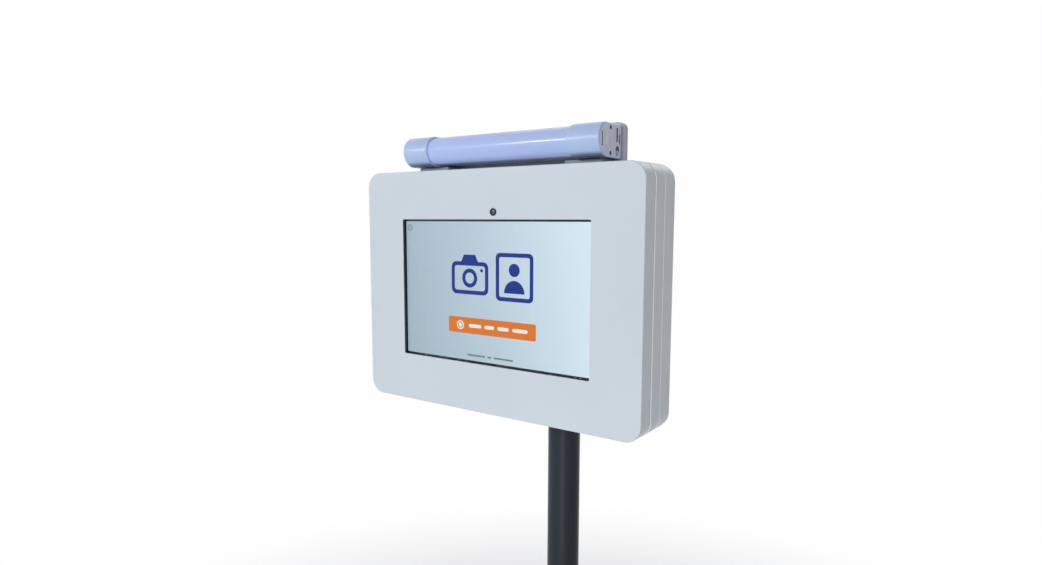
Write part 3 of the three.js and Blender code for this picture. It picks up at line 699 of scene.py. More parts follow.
def line_opening(front):
    """Blackens the deeper part of the thin wall that the opening leaves round the screen."""
    front.data.materials.append(LOOKS["black_print"].material)
    half_width, half_height = SCREEN_OPENING[0] / 2 + 0.6, SCREEN_OPENING[1] / 2 + 0.6
    back_to_head = HEAD.inverted()
    for face in front.data.polygons:
        centre = back_to_head @ face.center
        inside = abs(centre.x) < half_width and abs(centre.z) < half_height and 0.6 < centre.y < 4
        if inside and abs(face.normal.y) < 0.5:
            face.material_index = 1


def case_front():
    low, high = head_box("front_frame")
    lens = head_middle("camera_grommet")
    glass_front = head_box("tablet_glass")[0].y - 0.3
    width, height = SCREEN_OPENING
    front = board("case_front", low, high + Vector((0, SEAM, 0)), 1.0, 0.12)
    start, end, half_height = NOTCH
    combine(front, [
        plate("pocket", [rectangle(*GLASS_POCKET, 10)], glass_front, high.y + 4, edge=0),
        block("notch", (start, glass_front, -half_height), (end, high.y + 4, half_height), 0.2),
        through(rectangle(width + 0.06, height + 0.06, OPENING_CORNER, steps=6), 0.7),
        through(rectangle(width, height, OPENING_CORNER, steps=6)),
        through(circle(LENS_HOLE, lens.x, lens.z, 48), 8),
    ])
    dress(front, "white_board", "head", "white_board", "front_frame")
    line_opening(front)


def case_rims():
    seam = Vector((0, SEAM, 0))
    for node, opening, proud in RIMS:
        low, high = head_box(node)
        rim = board("case_" + node.split("_")[0], low - seam, high + seam, 0.25, 0.12, proud)
        combine(rim, [through(rectangle(*opening, 10))])
        dress(rim, "white_board", "head", "white_board", node)
        # The rims' forward-facing faces, the steps at the seams, get the painted seam highlight, a faint
        # glow.
        rim.data.materials.append(LOOKS["board_edge"].material)
        for face in rim.data.polygons:
            if face.normal.y < -0.3:
                face.material_index = 1


def button_screw(name, radius, rise, shank, reach, axis, origin, place=HEAD, socket=None):
    """A button-head screw with a hex socket: its head's seat is at origin and its shank goes in."""
    socket = socket or radius * 0.42
    profile = [(0, rise), (radius * 0.6, rise * 0.96), (radius * 0.9, rise * 0.55), (radius, rise * 0.12),
               (radius, 0), (shank, 0), (shank, -reach + 0.4), (shank - 0.4, -reach), (0, -reach)]
    made = lathe(name, profile, axis, origin, place, around=40)
    key = [(0, rise * 0.35), (socket, rise * 0.35), (socket, rise + 1), (0, rise + 1)]
    combine(made, [lathe("key", key, axis, origin, place, around=6)])
    return made


def case_back():
    low, high = head_box("rear_panel")
    gland = head_middle("inlet_gland")
    holes = [circle(GLAND_HOLE, gland.x, gland.z)]
    holes += [circle(BOLT_HOLE, x, z, 24) for x, z in MOUNT_HOLES]
    for side in (-1, 1):
        for i in range(VENT_COUNT):
            x = side * (VENT_FIRST + VENT_PITCH * i)
            holes.append(rectangle(VENT_WIDTH, VENT_LENGTH, VENT_WIDTH / 2 - 0.05, x, VENT_MIDDLE, 8))
    panel = board("case_back", low - Vector((0, SEAM, 0)), high, 0.3, 0.6, 1.0)
    combine(panel, [through(hole) for hole in holes])
    dress(panel, "white_board", "head", "white_board", "rear_panel")
    for i, (x, z) in enumerate(CASE_SCREWS):
        screw = button_screw(f"case_screw_{i + 1}", 3.6, 1.9, 1.6, 12, Y_AXIS, (x, high.y + 0.05, z))
        dress(screw, "black_screw", "head", "black_fastener")
    back = high.y
    nut = [(6.2, back + 0.3), (9, back + 0.3), (9, back + 3.4), (8.6, back + 4), (6.2, back + 4)]
    hexagon = lathe("gland_nut", nut, Y_AXIS, (gland.x, 0, gland.z), around=6)
    body = [(3, back - 6), (6, back - 6, 0.4), (6, back + 6.4, 0.6), (5, back + 9, 0.8), (3, back + 9)]
    collar = lathe("gland_body", body, Y_AXIS, (gland.x, 0, gland.z))
    dress(hexagon, "black_plastic", "head", "black_plastic")
    dress(collar, "black_plastic", "head", "black_plastic", "inlet_gland")


def camera_hole():
    low, high = head_box("camera_grommet")
    at = ((low.x + high.x) / 2, 0, (low.z + high.z) / 2)
    outer = (high.x - low.x) / 2
    bore = outer - 1.1
    flange = outer + 0.35
    ring = [(bore, 2.2), (bore, 0.2), (bore + 0.3, -1.0, 0.15), (flange, -1.0, 0.4), (flange, -0.02),
            (outer, -0.02), (outer, high.y), (bore, high.y), (bore, 2.2)]
    dress(lathe("camera_ring", ring, Y_AXIS, at), "black_print", "head", "black_plastic", "camera_grommet")
    window = [(0, -0.55), (bore * 0.6, -0.45), (bore - 0.02, -0.1), (bore - 0.02, 0.5), (0, 0.5)]
    dress(lathe("camera_window", window, Y_AXIS, at), "lens_glass", "head", "cover_glass", angle=60)
    low, high = head_box("tablet_camera")
    radius, front = (high.x - low.x) / 2, low.y
    barrel = [(0, high.y), (radius, high.y, 0.1), (radius, front, 0.15), (radius - 0.35, front),
              (radius - 0.5, front + 0.3), (0, front + 0.5)]
    dress(lathe("tablet_camera_barrel", barrel, Y_AXIS, at),
          "black_print", "head", "black_plastic", "tablet_camera")
    dome = [(0, front + 0.05), (0.7, front + 0.1), (1.3, front + 0.24), (radius - 0.6, front + 0.42),
            (0, front + 0.46)]
    dress(lathe("tablet_camera_lens", dome, Y_AXIS, at), "lens_glass", "head", "cover_glass", angle=60)


# ---- the tablet ----

PICTURE_FRONT = 4.84
PICTURE_BACK = 4.93
CAMERA_ICON = (-26.6, 17)
PORTRAIT_ICON = (28.2, 17)
BUTTON_HEIGHT = -34.9
BUTTON_RING = -39
BUTTON_BARS = ((-28, -12), (-8, 4), (8, 22), (26, 44))
FOOTER_HEIGHT = -65
FOOTER_BARS = ((-30, -7), (-4.5, 0.5), (3.5, 27))
CORNER_MARK = (-107.6, 63.4)


def picture(name, outlines, look, depth=0.0):
    made = plate(name, outlines, PICTURE_FRONT + depth, PICTURE_BACK + depth, edge=0)
    dress(made, look, "head", "display")


def camera_icon(x, z):
    """A camera seen from the front, as a thick outline: body, hump, lens ring and flash dot."""
    low_z = z - 3.5
    body = [rectangle(47, 33, 6, x, low_z, 8), rectangle(39, 25, 3, x, low_z, 6)]
    picture("icon_camera_body", body, "blue")
    hump = [(x - 11, z + 12.4), (x + 11, z + 12.4), (x + 7.2, z + 20), (x - 7.2, z + 20)]
    picture("icon_camera_hump", [hump], "blue", -0.005)
    picture("icon_camera_lens", [circle(9.6, x, low_z, 48), circle(5.6, x, low_z, 40)], "blue")
    picture("icon_camera_flash", [circle(1.7, x + 15.2, z + 4.6, 24)], "blue")


def portrait_icon(x, z):
    """A framed portrait: a round head over rounded shoulders."""
    frame_outlines = [rectangle(44, 47, 5, x, z - 0.5, 8), rectangle(36, 39, 2.2, x, z - 0.5, 6)]
    picture("icon_frame", frame_outlines, "blue")
    picture("icon_frame_head", [circle(6.4, x, z + 6.6, 40)], "blue")
    shoulders = [(x + 12 * u, z - 16 + 12.5 * v) for u, v in arc(0, 0, 1, 0, 180, 28)]
    picture("icon_frame_shoulders", [shoulders], "blue")


def bars(name, spans, z, height, corner, look, depth, steps):
    for i, (start, end) in enumerate(spans):
        bar = rectangle(end - start, height, corner, (start + end) / 2, z, steps)
        picture(f"{name}_{i + 1}", [bar], look, depth)


def display_picture():
    """A generic start page: two pictograms, a button, a small line at the foot and a mark in a corner."""
    camera_icon(*CAMERA_ICON)
    portrait_icon(*PORTRAIT_ICON)
    z = BUTTON_HEIGHT
    picture("start_button", [rectangle(107.8, 16.3, 1.6, -0.5, z, 6)], "orange")
    ring = [circle(4.7, BUTTON_RING, z, 40), circle(3.3, BUTTON_RING, z, 36)]
    picture("start_button_ring", ring, "white", -0.01)
    picture("start_button_dot", [circle(2.2, BUTTON_RING, z, 28)], "white", -0.01)
    bars("start_button_bar", BUTTON_BARS, z, 3.6, 1.7, "white", -0.01, 6)
    bars("footer_bar", FOOTER_BARS, FOOTER_HEIGHT, 1.7, 0.8, "grey", 0, 5)
    picture("corner_ring", [circle(3.4, *CORNER_MARK), circle(2.6, *CORNER_MARK, 28)], "grey")
    picture("corner_dot", [circle(1.0, *CORNER_MARK, 20)], "grey")


def tablet():
    glass_low, glass_high = head_box("tablet_glass")
    display_low, display_high = head_box("tablet_display")
    lens = head_middle("tablet_camera")
    glass = glass_high - glass_low
    lit = display_high - display_low
    outlines = [rectangle(glass.x - 1, glass.z - 1, 9.5), rectangle(lit.x, lit.z - 0.8, 0.9, 0, -0.15, 6),
                circle(2.5, lens.x, lens.z)]
    border = plate("tablet_border", outlines, glass_high.y + 0.03, glass_high.y + 0.1, edge=0)
    dress(border, "black_print", "head", "cover_glass")
    display_picture()
    paint_node("cover_glass", "tablet_glass")
    paint_node("lit_panel", "tablet_display")
    paint_node("tablet_aluminium", "tablet_shell", "tablet_power_button", "tablet_volume_rocker")
    paint_node("battery_wrap", "tablet_battery")
    paint_node("circuit_board", "tablet_board")
    paint_node("black_plastic", "backing_board", "power_adapter")
    paint_node("bright_steel", "retainer_bar_top", "retainer_bar_bottom", "stiffening_plate")


def foam_pad():
    made = block("foam_pad_cut", *head_box("foam_pad"), 1.2)
    dress(made, "grey_foam", "head", "foam", "foam_pad")


# ---- the lamp ----

COVER_WALL = 1.6
CAP_EDGE = 1.3
SLOTS = (
    # sunk into an end cap's face: from y, to y, from z, to z, depth, corner. z counts from the lamp's axis
    ("slit", 11.2, 12.9, -6.4, 6.4, 1.0, 0.6),
    ("slot", 39.3, 42.3, -0.6, 12.2, 1.0, 0.8),
    ("groove", 44.6, 46.6, -1.6, 6.4, 0.8, 0.5),
)
SWITCH_SLOTS = (
    ("switch_well", 38.2, 45.0, -12.8, -4.0, 1.4, 3.2),
    ("switch_slot", 40.3, 42.9, -11.6, -5.2, 6, 1.2),
)
LED_COUNT = 24
LAMP_KEYHOLES = 70
LAMP_BACK_SCREWS = corners(13, 106)  # (z, x) from the back plate's middle


def lamp_section(low, high, steps=48):
    """The lamp's section in (y, z): a half-round front on straight sides that end at the back."""
    radius = (high.z - low.z) / 2
    front = arc(low.y + radius, (low.z + high.z) / 2, radius, 90, 270, steps)
    return [(high.y, high.z), *front, (high.y, low.z)]


def lamp_cover():
    """A long trough, open at the back."""
    low, high = head_box("lamp_diffuser")
    inside = lamp_section(low + Vector((0, COVER_WALL, COVER_WALL)), high - Vector((0, 0, COVER_WALL)))
    cover = plate("lamp_cover", [lamp_section(low, high) + inside[::-1]], low.x, high.x, "YZ", 0.2)
    dress(cover, "opal", "head", "frosted_cover", "lamp_diffuser")


def lamp_channel():
    low, high = head_box("lamp_housing")
    wall = COVER_WALL
    outline = [(low.y, low.z), (low.y, high.z), (high.y, high.z), (high.y, high.z - wall),
               (low.y + wall, high.z - wall), (low.y + wall, low.z + wall), (high.y, low.z + wall),
               (high.y, low.z)]
    channel = plate("lamp_channel", [outline], low.x, high.x, "YZ", 0.25)
    dress(channel, "lamp_grey", "head", "lamp_body_plastic", "lamp_housing")


def slot_cutters(slots, end, side, axis_z):
    tools = []
    for name, y0, y1, z0, z1, depth, corner in slots:
        x0, x1 = sorted((end - side * depth, end + side * 2))
        outline = rectangle(y1 - y0, z1 - z0, corner, (y0 + y1) / 2, axis_z + (z0 + z1) / 2, 6)
        tools.append(plate(name, [outline], x0, x1, "YZ", 0))
    return tools


def cap_cutters(end, side, axis_z):
    """What is sunk into an end cap's face: slots, two screw wells and, on the right, the switch's well."""
    tools = slot_cutters(SLOTS, end, side, axis_z)
    for node in ("lamp_screw_right_1", "lamp_screw_right_2"):
        middle = head_middle(node)
        well = [(0, -1), (2.0, -1), (2.0, 6), (0, 6)]
        start = end - (5 if side > 0 else 0)
        tools.append(lathe("well", well, X_AXIS, (start, middle.y, middle.z), around=32))
    if side > 0:
        tools += slot_cutters(SWITCH_SLOTS, end, side, axis_z)
    return tools


def paint_cap_end(cap, end, side, middle_y, axis_z, reach):
    """Gives the cap's end face a lighter grey as painted light, and what is sunk into it a dark grey as
    painted shade.
    """
    give_looks(cap.data, "lamp_white", "cap_face_lightened", "painted_recess_shade")
    back_to_head = HEAD.inverted()
    for face in cap.data.polygons:
        centre = back_to_head @ face.center
        sunk = abs(end) - abs(centre.x)
        inside = math.hypot(min(centre.y - middle_y, 0), centre.z - axis_z) < reach
        if inside and sunk < 6:
            # 1: the end face's painted light, 2: the recesses' painted shade
            face.material_index = 1 if face.normal.x * side > 0.9 and sunk < 0.2 else 2


def lamp_caps():
    cover_low, cover_high = head_box("lamp_diffuser")
    gap = 0.3
    for node, side in (("lamp_cap_right", 1), ("lamp_cap_left", -1)):
        low, high = head_box(node)
        radius = (high.z - low.z) / 2
        axis_z = (low.z + high.z) / 2
        inner, end = (low.x, high.x) if side > 0 else (high.x, low.x)
        cap = plate(node + "_shell", [lamp_section(low, high)], low.x, high.x, "YZ", CAP_EDGE, rounds=5)
        hollow_low = Vector((0, cover_low.y - gap, cover_low.z - gap))
        hollow_high = Vector((0, high.y - 1.9, cover_high.z + gap))
        x0, x1 = sorted((inner - side, end - side * 2.8))
        hollow = plate("hollow", [lamp_section(hollow_low, hollow_high)], x0, x1, "YZ", 0)
        combine(cap, [hollow, *cap_cutters(end, side, axis_z)])
        dress(cap, "lamp_white", "head", "lamp_cap_plastic", node)
        paint_cap_end(cap, end, side, low.y + radius, axis_z, radius - 1.25)
        rings = ((0, 0.06), (4.6, 0.06), (5.0, 0.3), (5.7, 0.3), (6.1, 0), (6.1, -1), (0, -1))
        boss = lathe(node + "_boss", [(r, end + side * rise) for r, rise in rings],
                     X_AXIS, (0, low.y + radius + 1.4, axis_z), around=48)
        # The boss on the end face takes the same painted-light grey.
        dress(boss, "cap_face_lightened", "head", "lamp_cap_plastic")


def lamp_back():
    low, high = head_box("lamp_base")
    middle = (low + high) / 2
    size = high - low
    outline = rectangle(size.x, size.z, 6, middle.x, middle.z, 12)
    base = plate("lamp_tray", [outline], low.y, high.y, edge=1.0, rounds=4)
    inside = rectangle(size.x - 4, size.z - 4, 4, middle.x, middle.z, 8)
    combine(base, [plate("inside", [inside], low.y + 2, high.y + 2, edge=0)])
    dress(base, "lamp_grey", "head", "lamp_body_plastic", "lamp_base")
    low, high = head_box("lamp_back_plate")
    keyholes = [circle(3.2, middle.x + x, middle.z, 28) for x in (-LAMP_KEYHOLES, LAMP_KEYHOLES)]
    back = plate("lamp_back_cover", [outline, *keyholes], low.y, high.y, edge=1.0, rounds=4)
    dress(back, "lamp_grey", "head", "lamp_body_plastic", "lamp_back_plate")
    for i, (z, x) in enumerate(LAMP_BACK_SCREWS):
        place = (middle.x + x, high.y + 0.05, middle.z + z)
        screw = button_screw(f"lamp_back_screw_{i + 1}", 2.6, 1.3, 1.2, 5, Y_AXIS, place)
        dress(screw, "black_screw", "head", "black_fastener")
    # The feet are dressed in a dark grey that is painted shade for the lamp's shadow.
    for node in ("lamp_foot_left", "lamp_foot_right"):
        foot = block(node + "_block", *head_box(node), 0.7, "XY")
        dress(foot, "lamp_foot", "head", "lamp_body_plastic", node)


def led_chips():
    """Two rows of small blocks with bevelled fronts, on the board."""
    low, high = head_box("lamp_led_board")
    pitch = (high.x - low.x - 8) / (LED_COUNT - 1)
    sides = ((0, 1, 2, 3), (7, 6, 5, 4), (0, 4, 5, 1), (1, 5, 6, 2), (2, 6, 7, 3), (3, 7, 4, 0))
    points, faces = [], []
    for i in range(LED_COUNT):
        x = low.x + 4 + i * pitch
        for row in (-4, 4):
            z = (low.z + high.z) / 2 + row
            faces += [[len(points) + k for k in side] for side in sides]
            for y, half_x, half_z in ((low.y, 1.4, 1.75), (low.y - 0.7, 1.15, 1.5)):
                points += [(x - half_x, y, z - half_z), (x + half_x, y, z - half_z),
                           (x + half_x, y, z + half_z), (x - half_x, y, z + half_z)]
    chips = fill_in(from_rows("lamp_led_chips", points, faces), HEAD)
    dress(chips, "white_nylon", "head", "circuit_board")


def lamp_inside():
    led_chips()
    paint_node("circuit_board", "lamp_led_board")
    paint_node("battery_wrap", "lamp_battery")
    paint_node("black_screw", *[f"lamp_screw_{side}_{i}" for side in ("right", "left") for i in (1, 2)])
    low, high = head_box("lamp_switch_knob")
    middle = (low + high) / 2
    top = high.x
    profile = [(0, top), (1.3, top - 0.05), (2.0, top - 0.5), (2.2, top - 1.0), (2.2, top - 2.0),
               (1, top - 2.0), (1, low.x), (0, low.x)]
    thumb = lathe("lamp_switch_thumb", profile, X_AXIS, (0, middle.y, middle.z), around=32)
    dress(thumb, "lamp_white", "lamp_switch", "lamp_cap_plastic", "lamp_switch_knob")


# ---- the tilting bracket ----

CLEARANCE = 0.3  # between pieces that fit together
SCREW_HOLE = 4.3  # the radius of the hole for an 8 mm screw
THREAD_RADIUS, THREAD_PITCH = 4, 1.25
PLATE_THICK = 4
EAR_THICK = 5
TILT_KNOB_RADIUS = 22
PAN_KNOB_RADIUS, PAN_KNOB_DEPTH = 18, 20


def bracket_plate():
    low, high = head_box("tilt_plate")
    washer_high = head_box("tilt_washer_right")[1]
    axis_y = head_middle("tilt_washer_right").y
    size, eye = high.x - low.x, high.y - axis_y
    holes = [circle(BOLT_HOLE, x, z, 28) for x, z in MOUNT_HOLES]
    front = low.y + PLATE_THICK
    made = plate("bracket_plate", [rectangle(size, size, 8), *holes], low.y, front, edge=0.6)
    ear = [(front - 1, -30), (axis_y - 4, -eye), *arc(axis_y, 0, eye, -90, 90, 32), (axis_y - 4, eye),
           (front - 1, 30)]
    inner = washer_high.x + CLEARANCE
    weld = [(0, -29), (1.6, -28), (2.0, -26), (2.0, 26), (1.6, 28), (0, 29)]
    parts = []
    for side in (-1, 1):
        x0, x1 = sorted((side * inner, side * (inner + EAR_THICK)))
        parts.append(plate("ear", [ear], x0, x1, "YZ", 0.5))
        for x in (x0 - 0.4, x1 + 0.4):  # beads along both of the ear's feet
            parts.append(lathe("weld", weld, Z_AXIS, (x, front, 0), around=20))
    combine(made, parts, "UNION")
    combine(made, [rod("bore", SCREW_HOLE, -40, 40, X_AXIS, (0, axis_y, 0))])
    dress(made, "powder_coat", "head", "black_powder_coat", "tilt_plate")
    for i in range(4):
        node = f"mount_bolt_{i + 1}"
        inner_end, outer_end = head_box(node)
        seat = front + CLEARANCE
        middle = head_middle(node)
        bolt = button_screw(node + "_button", 5.5, outer_end.y - seat, 3, seat - inner_end.y, Y_AXIS,
                            (middle.x, seat, middle.z), socket=2.0)
        dress(bolt, "black_screw", "head", "black_fastener", node)


def socket_casting():
    low, high = head_box("pan_head")
    axis_y = head_middle("tilt_washer_right").y
    half_width = head_box("tilt_washer_right")[0].x - CLEARANCE
    radius = high.x
    eye = axis_y - low.y
    pole = (0, POLE_DEPTH, 0)
    body = lathe("pole_socket", [(0, low.z), (radius, low.z, 2.5), (radius, high.z, 5), (0, high.z)],
                 origin=pole, around=72, steps=5)
    knuckle = [(0, -half_width), (eye, -half_width, 1), (eye, half_width, 1), (0, half_width)]
    combine(body, [
        block("arm", (-half_width, axis_y, -11), (half_width, POLE_DEPTH, 11), 2),
        lathe("knuckle", knuckle, X_AXIS, (0, axis_y, 0)),
        rod("boss", 9, radius - 4, high.y - POLE_DEPTH, Y_AXIS, pole, around=48),
    ], "UNION")
    melt(body, 0.9)
    bore = floor_radius("upper_tube") + CLEARANCE
    combine(body, [
        lathe("bore", [(0, low.z - 2), (bore, low.z - 2), (bore, high.z - 5), (0, high.z - 5)],
              origin=pole, around=72),
        rod("bolt_bore", SCREW_HOLE, -30, 30, X_AXIS, (0, axis_y, 0)),
        rod("stud_bore", SCREW_HOLE, 0, radius + 8, Y_AXIS, pole),
    ])
    dress(body, "cast_black", "pan_mount", "black_powder_coat", "pan_head", angle=40)


def threads(low, high):
    """The outline of a threaded rod, drawn as rings."""
    root, crest = THREAD_RADIUS - 0.65, THREAD_RADIUS - 0.05
    profile = [(0, low), (THREAD_RADIUS - 0.9, low)]
    for i in range(int((high - low - 0.8) / THREAD_PITCH)):
        z = low + 0.4 + i * THREAD_PITCH
        profile += [(root, z), (crest, z + THREAD_PITCH * 0.4), (crest, z + THREAD_PITCH * 0.6)]
    return profile + [(root, high), (0, high)]


def hand_knob(node, body, radius, crown, boss, axis, origin, place=HEAD, bore=None, stud=0):
    """A scalloped knob: its outline goes from the middle of the foot, round the grip, to the crown's."""
    foot = [(0, bore[1]), (bore[0], bore[1]), (bore[0], 0)] if bore else [(0, 0)]
    outline = [*foot, (radius * 0.45, 0, 0.5), (radius * 0.47, boss, 0.8), (radius * 0.86, boss, 1.5),
               (radius, boss + 3, 2.2), (radius, crown - 3.5, 3.2), (radius * 0.72, crown, 3.0),
               (radius * 0.5, crown, 0.4), (radius * 0.46, crown - 0.8, 0.3), (0, crown - 0.8)]
    grip = lathe(node + "_grip", outline, axis, origin, place, around=96, steps=5, lobes=(6, 0.15))
    dress(grip, "black_plastic", body, "black_plastic", node, angle=50)
    if stud:
        screw = lathe(node + "_stud", threads(-stud, -0.02), axis, origin, place, around=36)
        dress(screw, "bright_steel", body, "bright_steel", angle=25)


def bracket_fasteners():
    low, high = head_box("tilt_bolt")
    middle = (low + high) / 2
    axis = (0, middle.y, middle.z)
    across, start = (high.z - low.z) / 2, low.x
    head = [(0, start), (across * 0.8, start), (across, start + 0.8), (across, start + 5.5), (0, start + 5.5)]
    bolt = lathe("tilt_bolt_head", head, X_AXIS, axis, around=6)
    combine(bolt, [rod("shank", THREAD_RADIUS, start + 5, high.x, X_AXIS, axis)], "UNION")
    dress(bolt, "bright_steel", "pan_mount", "bright_steel", "tilt_bolt")
    for side in ("right", "left"):
        low, high = head_box("tilt_washer_" + side)
        ring = tube("tilt_washer_ring_" + side, (high.z - low.z) / 2, SCREW_HOLE, low.x, high.x,
                    X_AXIS, axis, edge=0.3)
        dress(ring, "white_nylon", "pan_mount", "nylon", "tilt_washer_" + side)
    low, high = head_box("tilt_knob")
    place = (low.x, middle.y, middle.z)
    hand_knob("tilt_knob", "tilt_clamp", TILT_KNOB_RADIUS, high.x - low.x, 5, X_AXIS, place,
              bore=(SCREW_HOLE, 18))
    seat = head_box("pan_knob")[1].y - PAN_KNOB_DEPTH
    stud = seat - POLE_DEPTH - floor_radius("upper_tube") - CLEARANCE
    hand_knob("pan_knob", "pan_clamp", PAN_KNOB_RADIUS, PAN_KNOB_DEPTH, 4, Y_AXIS, (0, seat, 0), stud=stud)


# ---- the pole and the base ----

TUBES = (
    # piece, CAD node, wall, body and look
    ("mast_tube", "upper_tube", 1.8, "mast", "tube_paint"),
    ("stand_tube", "lower_tube", 2, "stand", "powder_coat"),
)
COLLAR_GROOVES = (14, 18.5, 23)
HEIGHT_KNOB_RADIUS, HEIGHT_KNOB_DEPTH = 20, 22
HUB_FLANGE = 8
HUB_NECK = 30
BASE_CORNER = 24
PAD_CORNER = 18


def poles():
    for name, node, wall, body, look in TUBES:
        low, high = floor_box(node)
        radius = floor_radius(node)
        pipe = tube(name, radius, radius - wall, low.z, high.z, place=FLOOR, around=96)
        dress(pipe, look, body, "black_powder_coat", node)
    paint_node("white_nylon", "glide_bush")


def collar_ring(knob_z):
    low, high = floor_box("height_collar")
    lower_tube = floor_radius("lower_tube")
    bore, mouth, radius = lower_tube + CLEARANCE, lower_tube - 0.5, high.x
    middle = (bore, low.z + 20)
    step = floor_box("lower_tube")[1].z + CLEARANCE
    profile = [middle, (bore, low.z, 0.6), (radius - 3, low.z, 1.2), (radius - 3, low.z + 6, 0.8),
               (radius, low.z + 8, 0.8)]
    for groove in COLLAR_GROOVES:
        z = low.z + groove
        profile += [(radius, z, 0.3), (radius - 0.8, z + 0.5), (radius - 0.8, z + 1.2),
                    (radius, z + 1.7, 0.3)]
    profile += [(radius, high.z, 1.6), (mouth, high.z, 0.5), (mouth, step, 0), (bore, step, 0), middle]
    ring = lathe("collar_ring", profile, place=FLOOR, around=96)
    across = (0, 0, knob_z)
    boss = [(0, radius - 5), (11.5, radius - 5), (10.4, radius + 2), (10, high.y, 1), (0, high.y)]
    combine(ring, [lathe("boss", boss, Y_AXIS, across, FLOOR, around=48)], "UNION")
    combine(ring, [rod("bore", SCREW_HOLE, 6, radius + 8, Y_AXIS, across, FLOOR)])
    dress(ring, "black_plastic", "stand", "black_plastic", "height_collar")
    return mouth


def collar():
    knob_low, knob_high = floor_box("height_knob")
    knob_z = (knob_low.z + knob_high.z) / 2
    mouth = collar_ring(knob_z)
    low, high = floor_box("collar_bush")
    inner, outer = floor_radius("upper_tube") + CLEARANCE, mouth - CLEARANCE
    flange = floor_radius("collar_bush")
    middle = (inner, low.z + 6)
    profile = [middle, (inner, low.z, 0.2), (outer, low.z, 0.3), (outer, high.z - 2.2),
               (flange, high.z - 2.2, 0.3), (flange, high.z, 0.9), (inner, high.z, 0.7), middle]
    bush = lathe("collar_liner", profile, place=FLOOR, around=96)
    combine(bush, [rod("bore", SCREW_HOLE, 6, 30, Y_AXIS, (0, 0, knob_z), FLOOR)])
    dress(bush, "black_plastic", "stand", "black_plastic", "collar_bush")
    seat = knob_high.y - HEIGHT_KNOB_DEPTH
    hand_knob("height_knob", "height_clamp", HEIGHT_KNOB_RADIUS, HEIGHT_KNOB_DEPTH, 5, Y_AXIS,
              (0, seat, knob_z), FLOOR, stud=seat - inner)


def base():
    low, high = floor_box("base_hub")
    radius, bore, neck = high.x, floor_radius("lower_tube") + CLEARANCE, HUB_NECK
    seat = low.z + HUB_FLANGE
    middle = (bore, low.z + 30)
    profile = [middle, (bore, low.z, 0.3), (radius, low.z, 0.5), (radius, seat, 2.5), (neck + 11, seat, 7),
               (neck, low.z + 22, 12), (neck, high.z, 1.4), (bore, high.z, 0.8), middle]
    hub = lathe("hub_casting", profile, place=FLOOR, around=96, steps=8)
    screws = [f"hub_screw_{i + 1}" for i in range(4)]
    places = []
    for node in screws:
        screw_low, screw_high = floor_box(node)
        middle = (screw_low + screw_high) / 2
        places.append((middle.x, middle.y))
        combine(hub, [rod("bore", BOLT_HOLE, low.z - 2, low.z + 20, Z_AXIS, (middle.x, middle.y, 0), FLOOR),
                      rod("face", 7, seat - 0.02, low.z + 40, Z_AXIS, (middle.x, middle.y, 0), FLOOR)])
    dress(hub, "cast_black", "stand", "black_powder_coat", "base_hub")
    seat += CLEARANCE
    for node, (x, y) in zip(screws, places):
        screw_low, screw_high = floor_box(node)
        rise, reach = screw_high.z - seat, seat - screw_low.z
        screw = button_screw(node + "_button", 6, rise, 3, reach, Z_AXIS, (x, y, seat), FLOOR, socket=2.3)
        dress(screw, "black_screw", "stand", "black_fastener", node)
    low, high = floor_box("base_plate")
    outlines = [rectangle(high.x - low.x, high.y - low.y, BASE_CORNER, steps=20)]
    outlines += [circle(3.3, x, y, 24) for x, y in places]
    sheet = plate("base_sheet", outlines, low.z, high.z, "XY", 2.0, FLOOR, 5)
    dress(sheet, "powder_coat", "stand", "black_powder_coat", "base_plate")
    low, high = floor_box("base_pad")
    outline = rectangle(high.x - low.x, high.y - low.y, PAD_CORNER, steps=16)
    pad = plate("base_mat", [outline], low.z, high.z, "XY", 0.5, FLOOR)
    dress(pad, "black_rubber", "stand", "pad_rubber", "base_pad")


# ---- the studio ----

FLOOR_LEVEL = -0.0006  # a hair under the pad
FLOOR_RADIUS = 3.4
FLOOR_FADE = (0.5, 1.7)
BACKDROP_DIRECTION = (-0.56, 0.83, 0)
SURROUND_LIGHT = (0.56, 0.58, 0.62)
SURROUND_SHADE = (0.36, 0.345, 0.345)
SURROUND_BACKDROP = (0.995, 0.995, 0.998)
SURROUND_ABOVE = (0.30, 0.31, 0.34)
SURROUND_BELOW = (0.28, 0.28, 0.29)
LIGHTS = (
    # name, place, what it faces, width, height, watts, colour
    ("key", (-1.6, -3.1, 2.15), FACE, 3.0, 1.6, 7, (0.97, 0.99, 1.0)),
    ("overhead", (0.0, -0.4, 3.2), FACE, 1.8, 1.8, 2.5, (0.97, 0.98, 1.0)),
    ("low_fill", (0.32, -0.85, 0.55), FACE, 0.3, 0.3, 1.6, (0.97, 0.99, 1.0)),
    ("edge", (0.3, 2.0, 2.4), FACE, 0.9, 0.25, 5, (1.0, 0.97, 0.93)),
    ("line", (-1.32, -1.93, 1.665), (-1.32, -0.2, 1.145), 1.6, 0.09, 17.0, (0.95, 0.98, 1.0)),
)


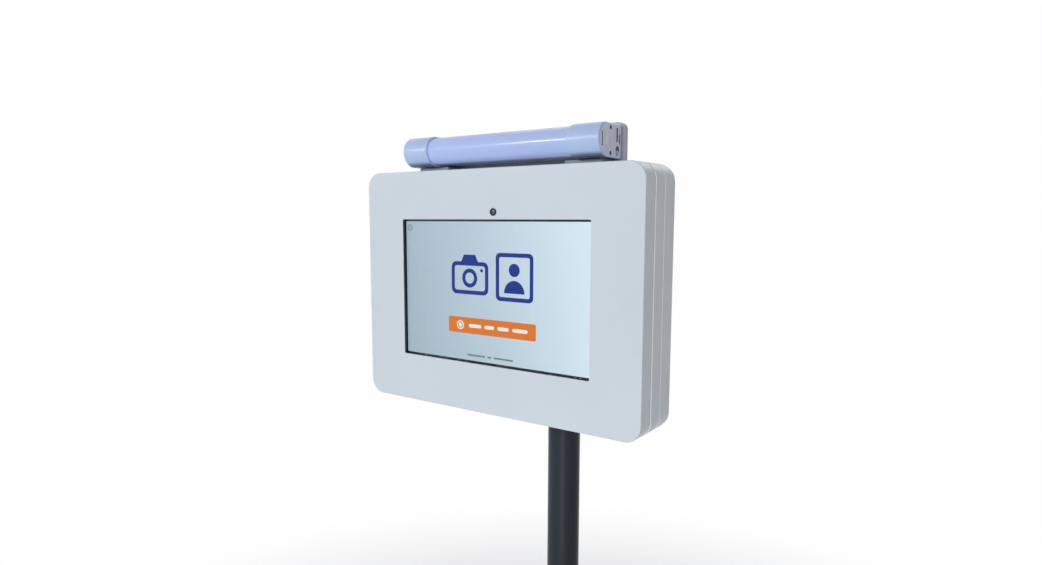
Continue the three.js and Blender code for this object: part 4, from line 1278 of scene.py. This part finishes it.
def studio_floor():
    """A pale matt floor that fades out to the backdrop round the stand."""
    steps = 96
    points = [(0, 0, FLOOR_LEVEL)] + [(x, y, FLOOR_LEVEL) for x, y in circle(FLOOR_RADIUS, steps=steps)]
    faces = [(0, i, i % steps + 1) for i in range(1, steps + 1)]
    floor = from_rows("studio_floor", points, faces)
    look = Look("studio_floor_paint", (0.80, 0.81, 0.83), 0.75).tint(700, 0.01).relief(3.0, 30.0)
    distance = look.node("ShaderNodeVectorMath", operation="LENGTH")
    look.join(look.place("Object"), distance.inputs[0])
    fade = look.rescaled(distance.outputs["Value"], *FLOOR_FADE, 1.0, 0.0, interpolation_type="SMOOTHSTEP")
    look.drive("Alpha", fade)
    floor.data.materials.append(look.material)


def studio_world():
    """A pale surround, brightest behind the booth and quieter on the shaded right, below and above."""
    world = bpy.data.worlds.new("studio")
    bpy.context.scene.world = world
    world.use_nodes = True
    nodes = Nodes(world.node_tree)
    color = SURROUND_LIGHT
    for direction, start, end, tone in (
        (X_AXIS, -0.2, 0.5, SURROUND_SHADE),
        ((0, 0, -1), 0.05, 0.6, SURROUND_BELOW),
        (Z_AXIS, 0.15, 0.75, SURROUND_ABOVE),
        (BACKDROP_DIRECTION, 0.25, 0.66, SURROUND_BACKDROP),
    ):
        dot = nodes.node("ShaderNodeVectorMath", operation="DOT_PRODUCT")
        dot.inputs[1].default_value = direction
        nodes.join(nodes.place("Generated"), dot.inputs[0])
        spread = nodes.rescaled(dot.outputs["Value"], start, end, interpolation_type="SMOOTHSTEP")
        color = nodes.blended(spread, color, tone)
    nodes.join(color, nodes.tree.nodes["Background"].inputs["Color"])


def studio_lights():
    for name, place, target, width, height, watts, color in LIGHTS:
        data = bpy.data.lights.new(name, "AREA")
        data.shape = "RECTANGLE"
        data.size = width
        data.size_y = height
        data.energy = watts
        data.color = color
        light = linked(name, data)
        light.location = place
        light.rotation_euler = (Vector(target) - Vector(place)).to_track_quat("-Z", "Y").to_euler()


for make in (case_front, case_rims, case_back, camera_hole, tablet, foam_pad,
             lamp_cover, lamp_channel, lamp_caps, lamp_back, lamp_inside,
             bracket_plate, socket_casting, bracket_fasteners, poles, collar, base,
             make_camera, studio_floor, studio_world, studio_lights):
    make()

view = bpy.context.scene.view_settings
view.view_transform = "Standard"
view.look = "None"
view.exposure = 0
view.gamma = 1
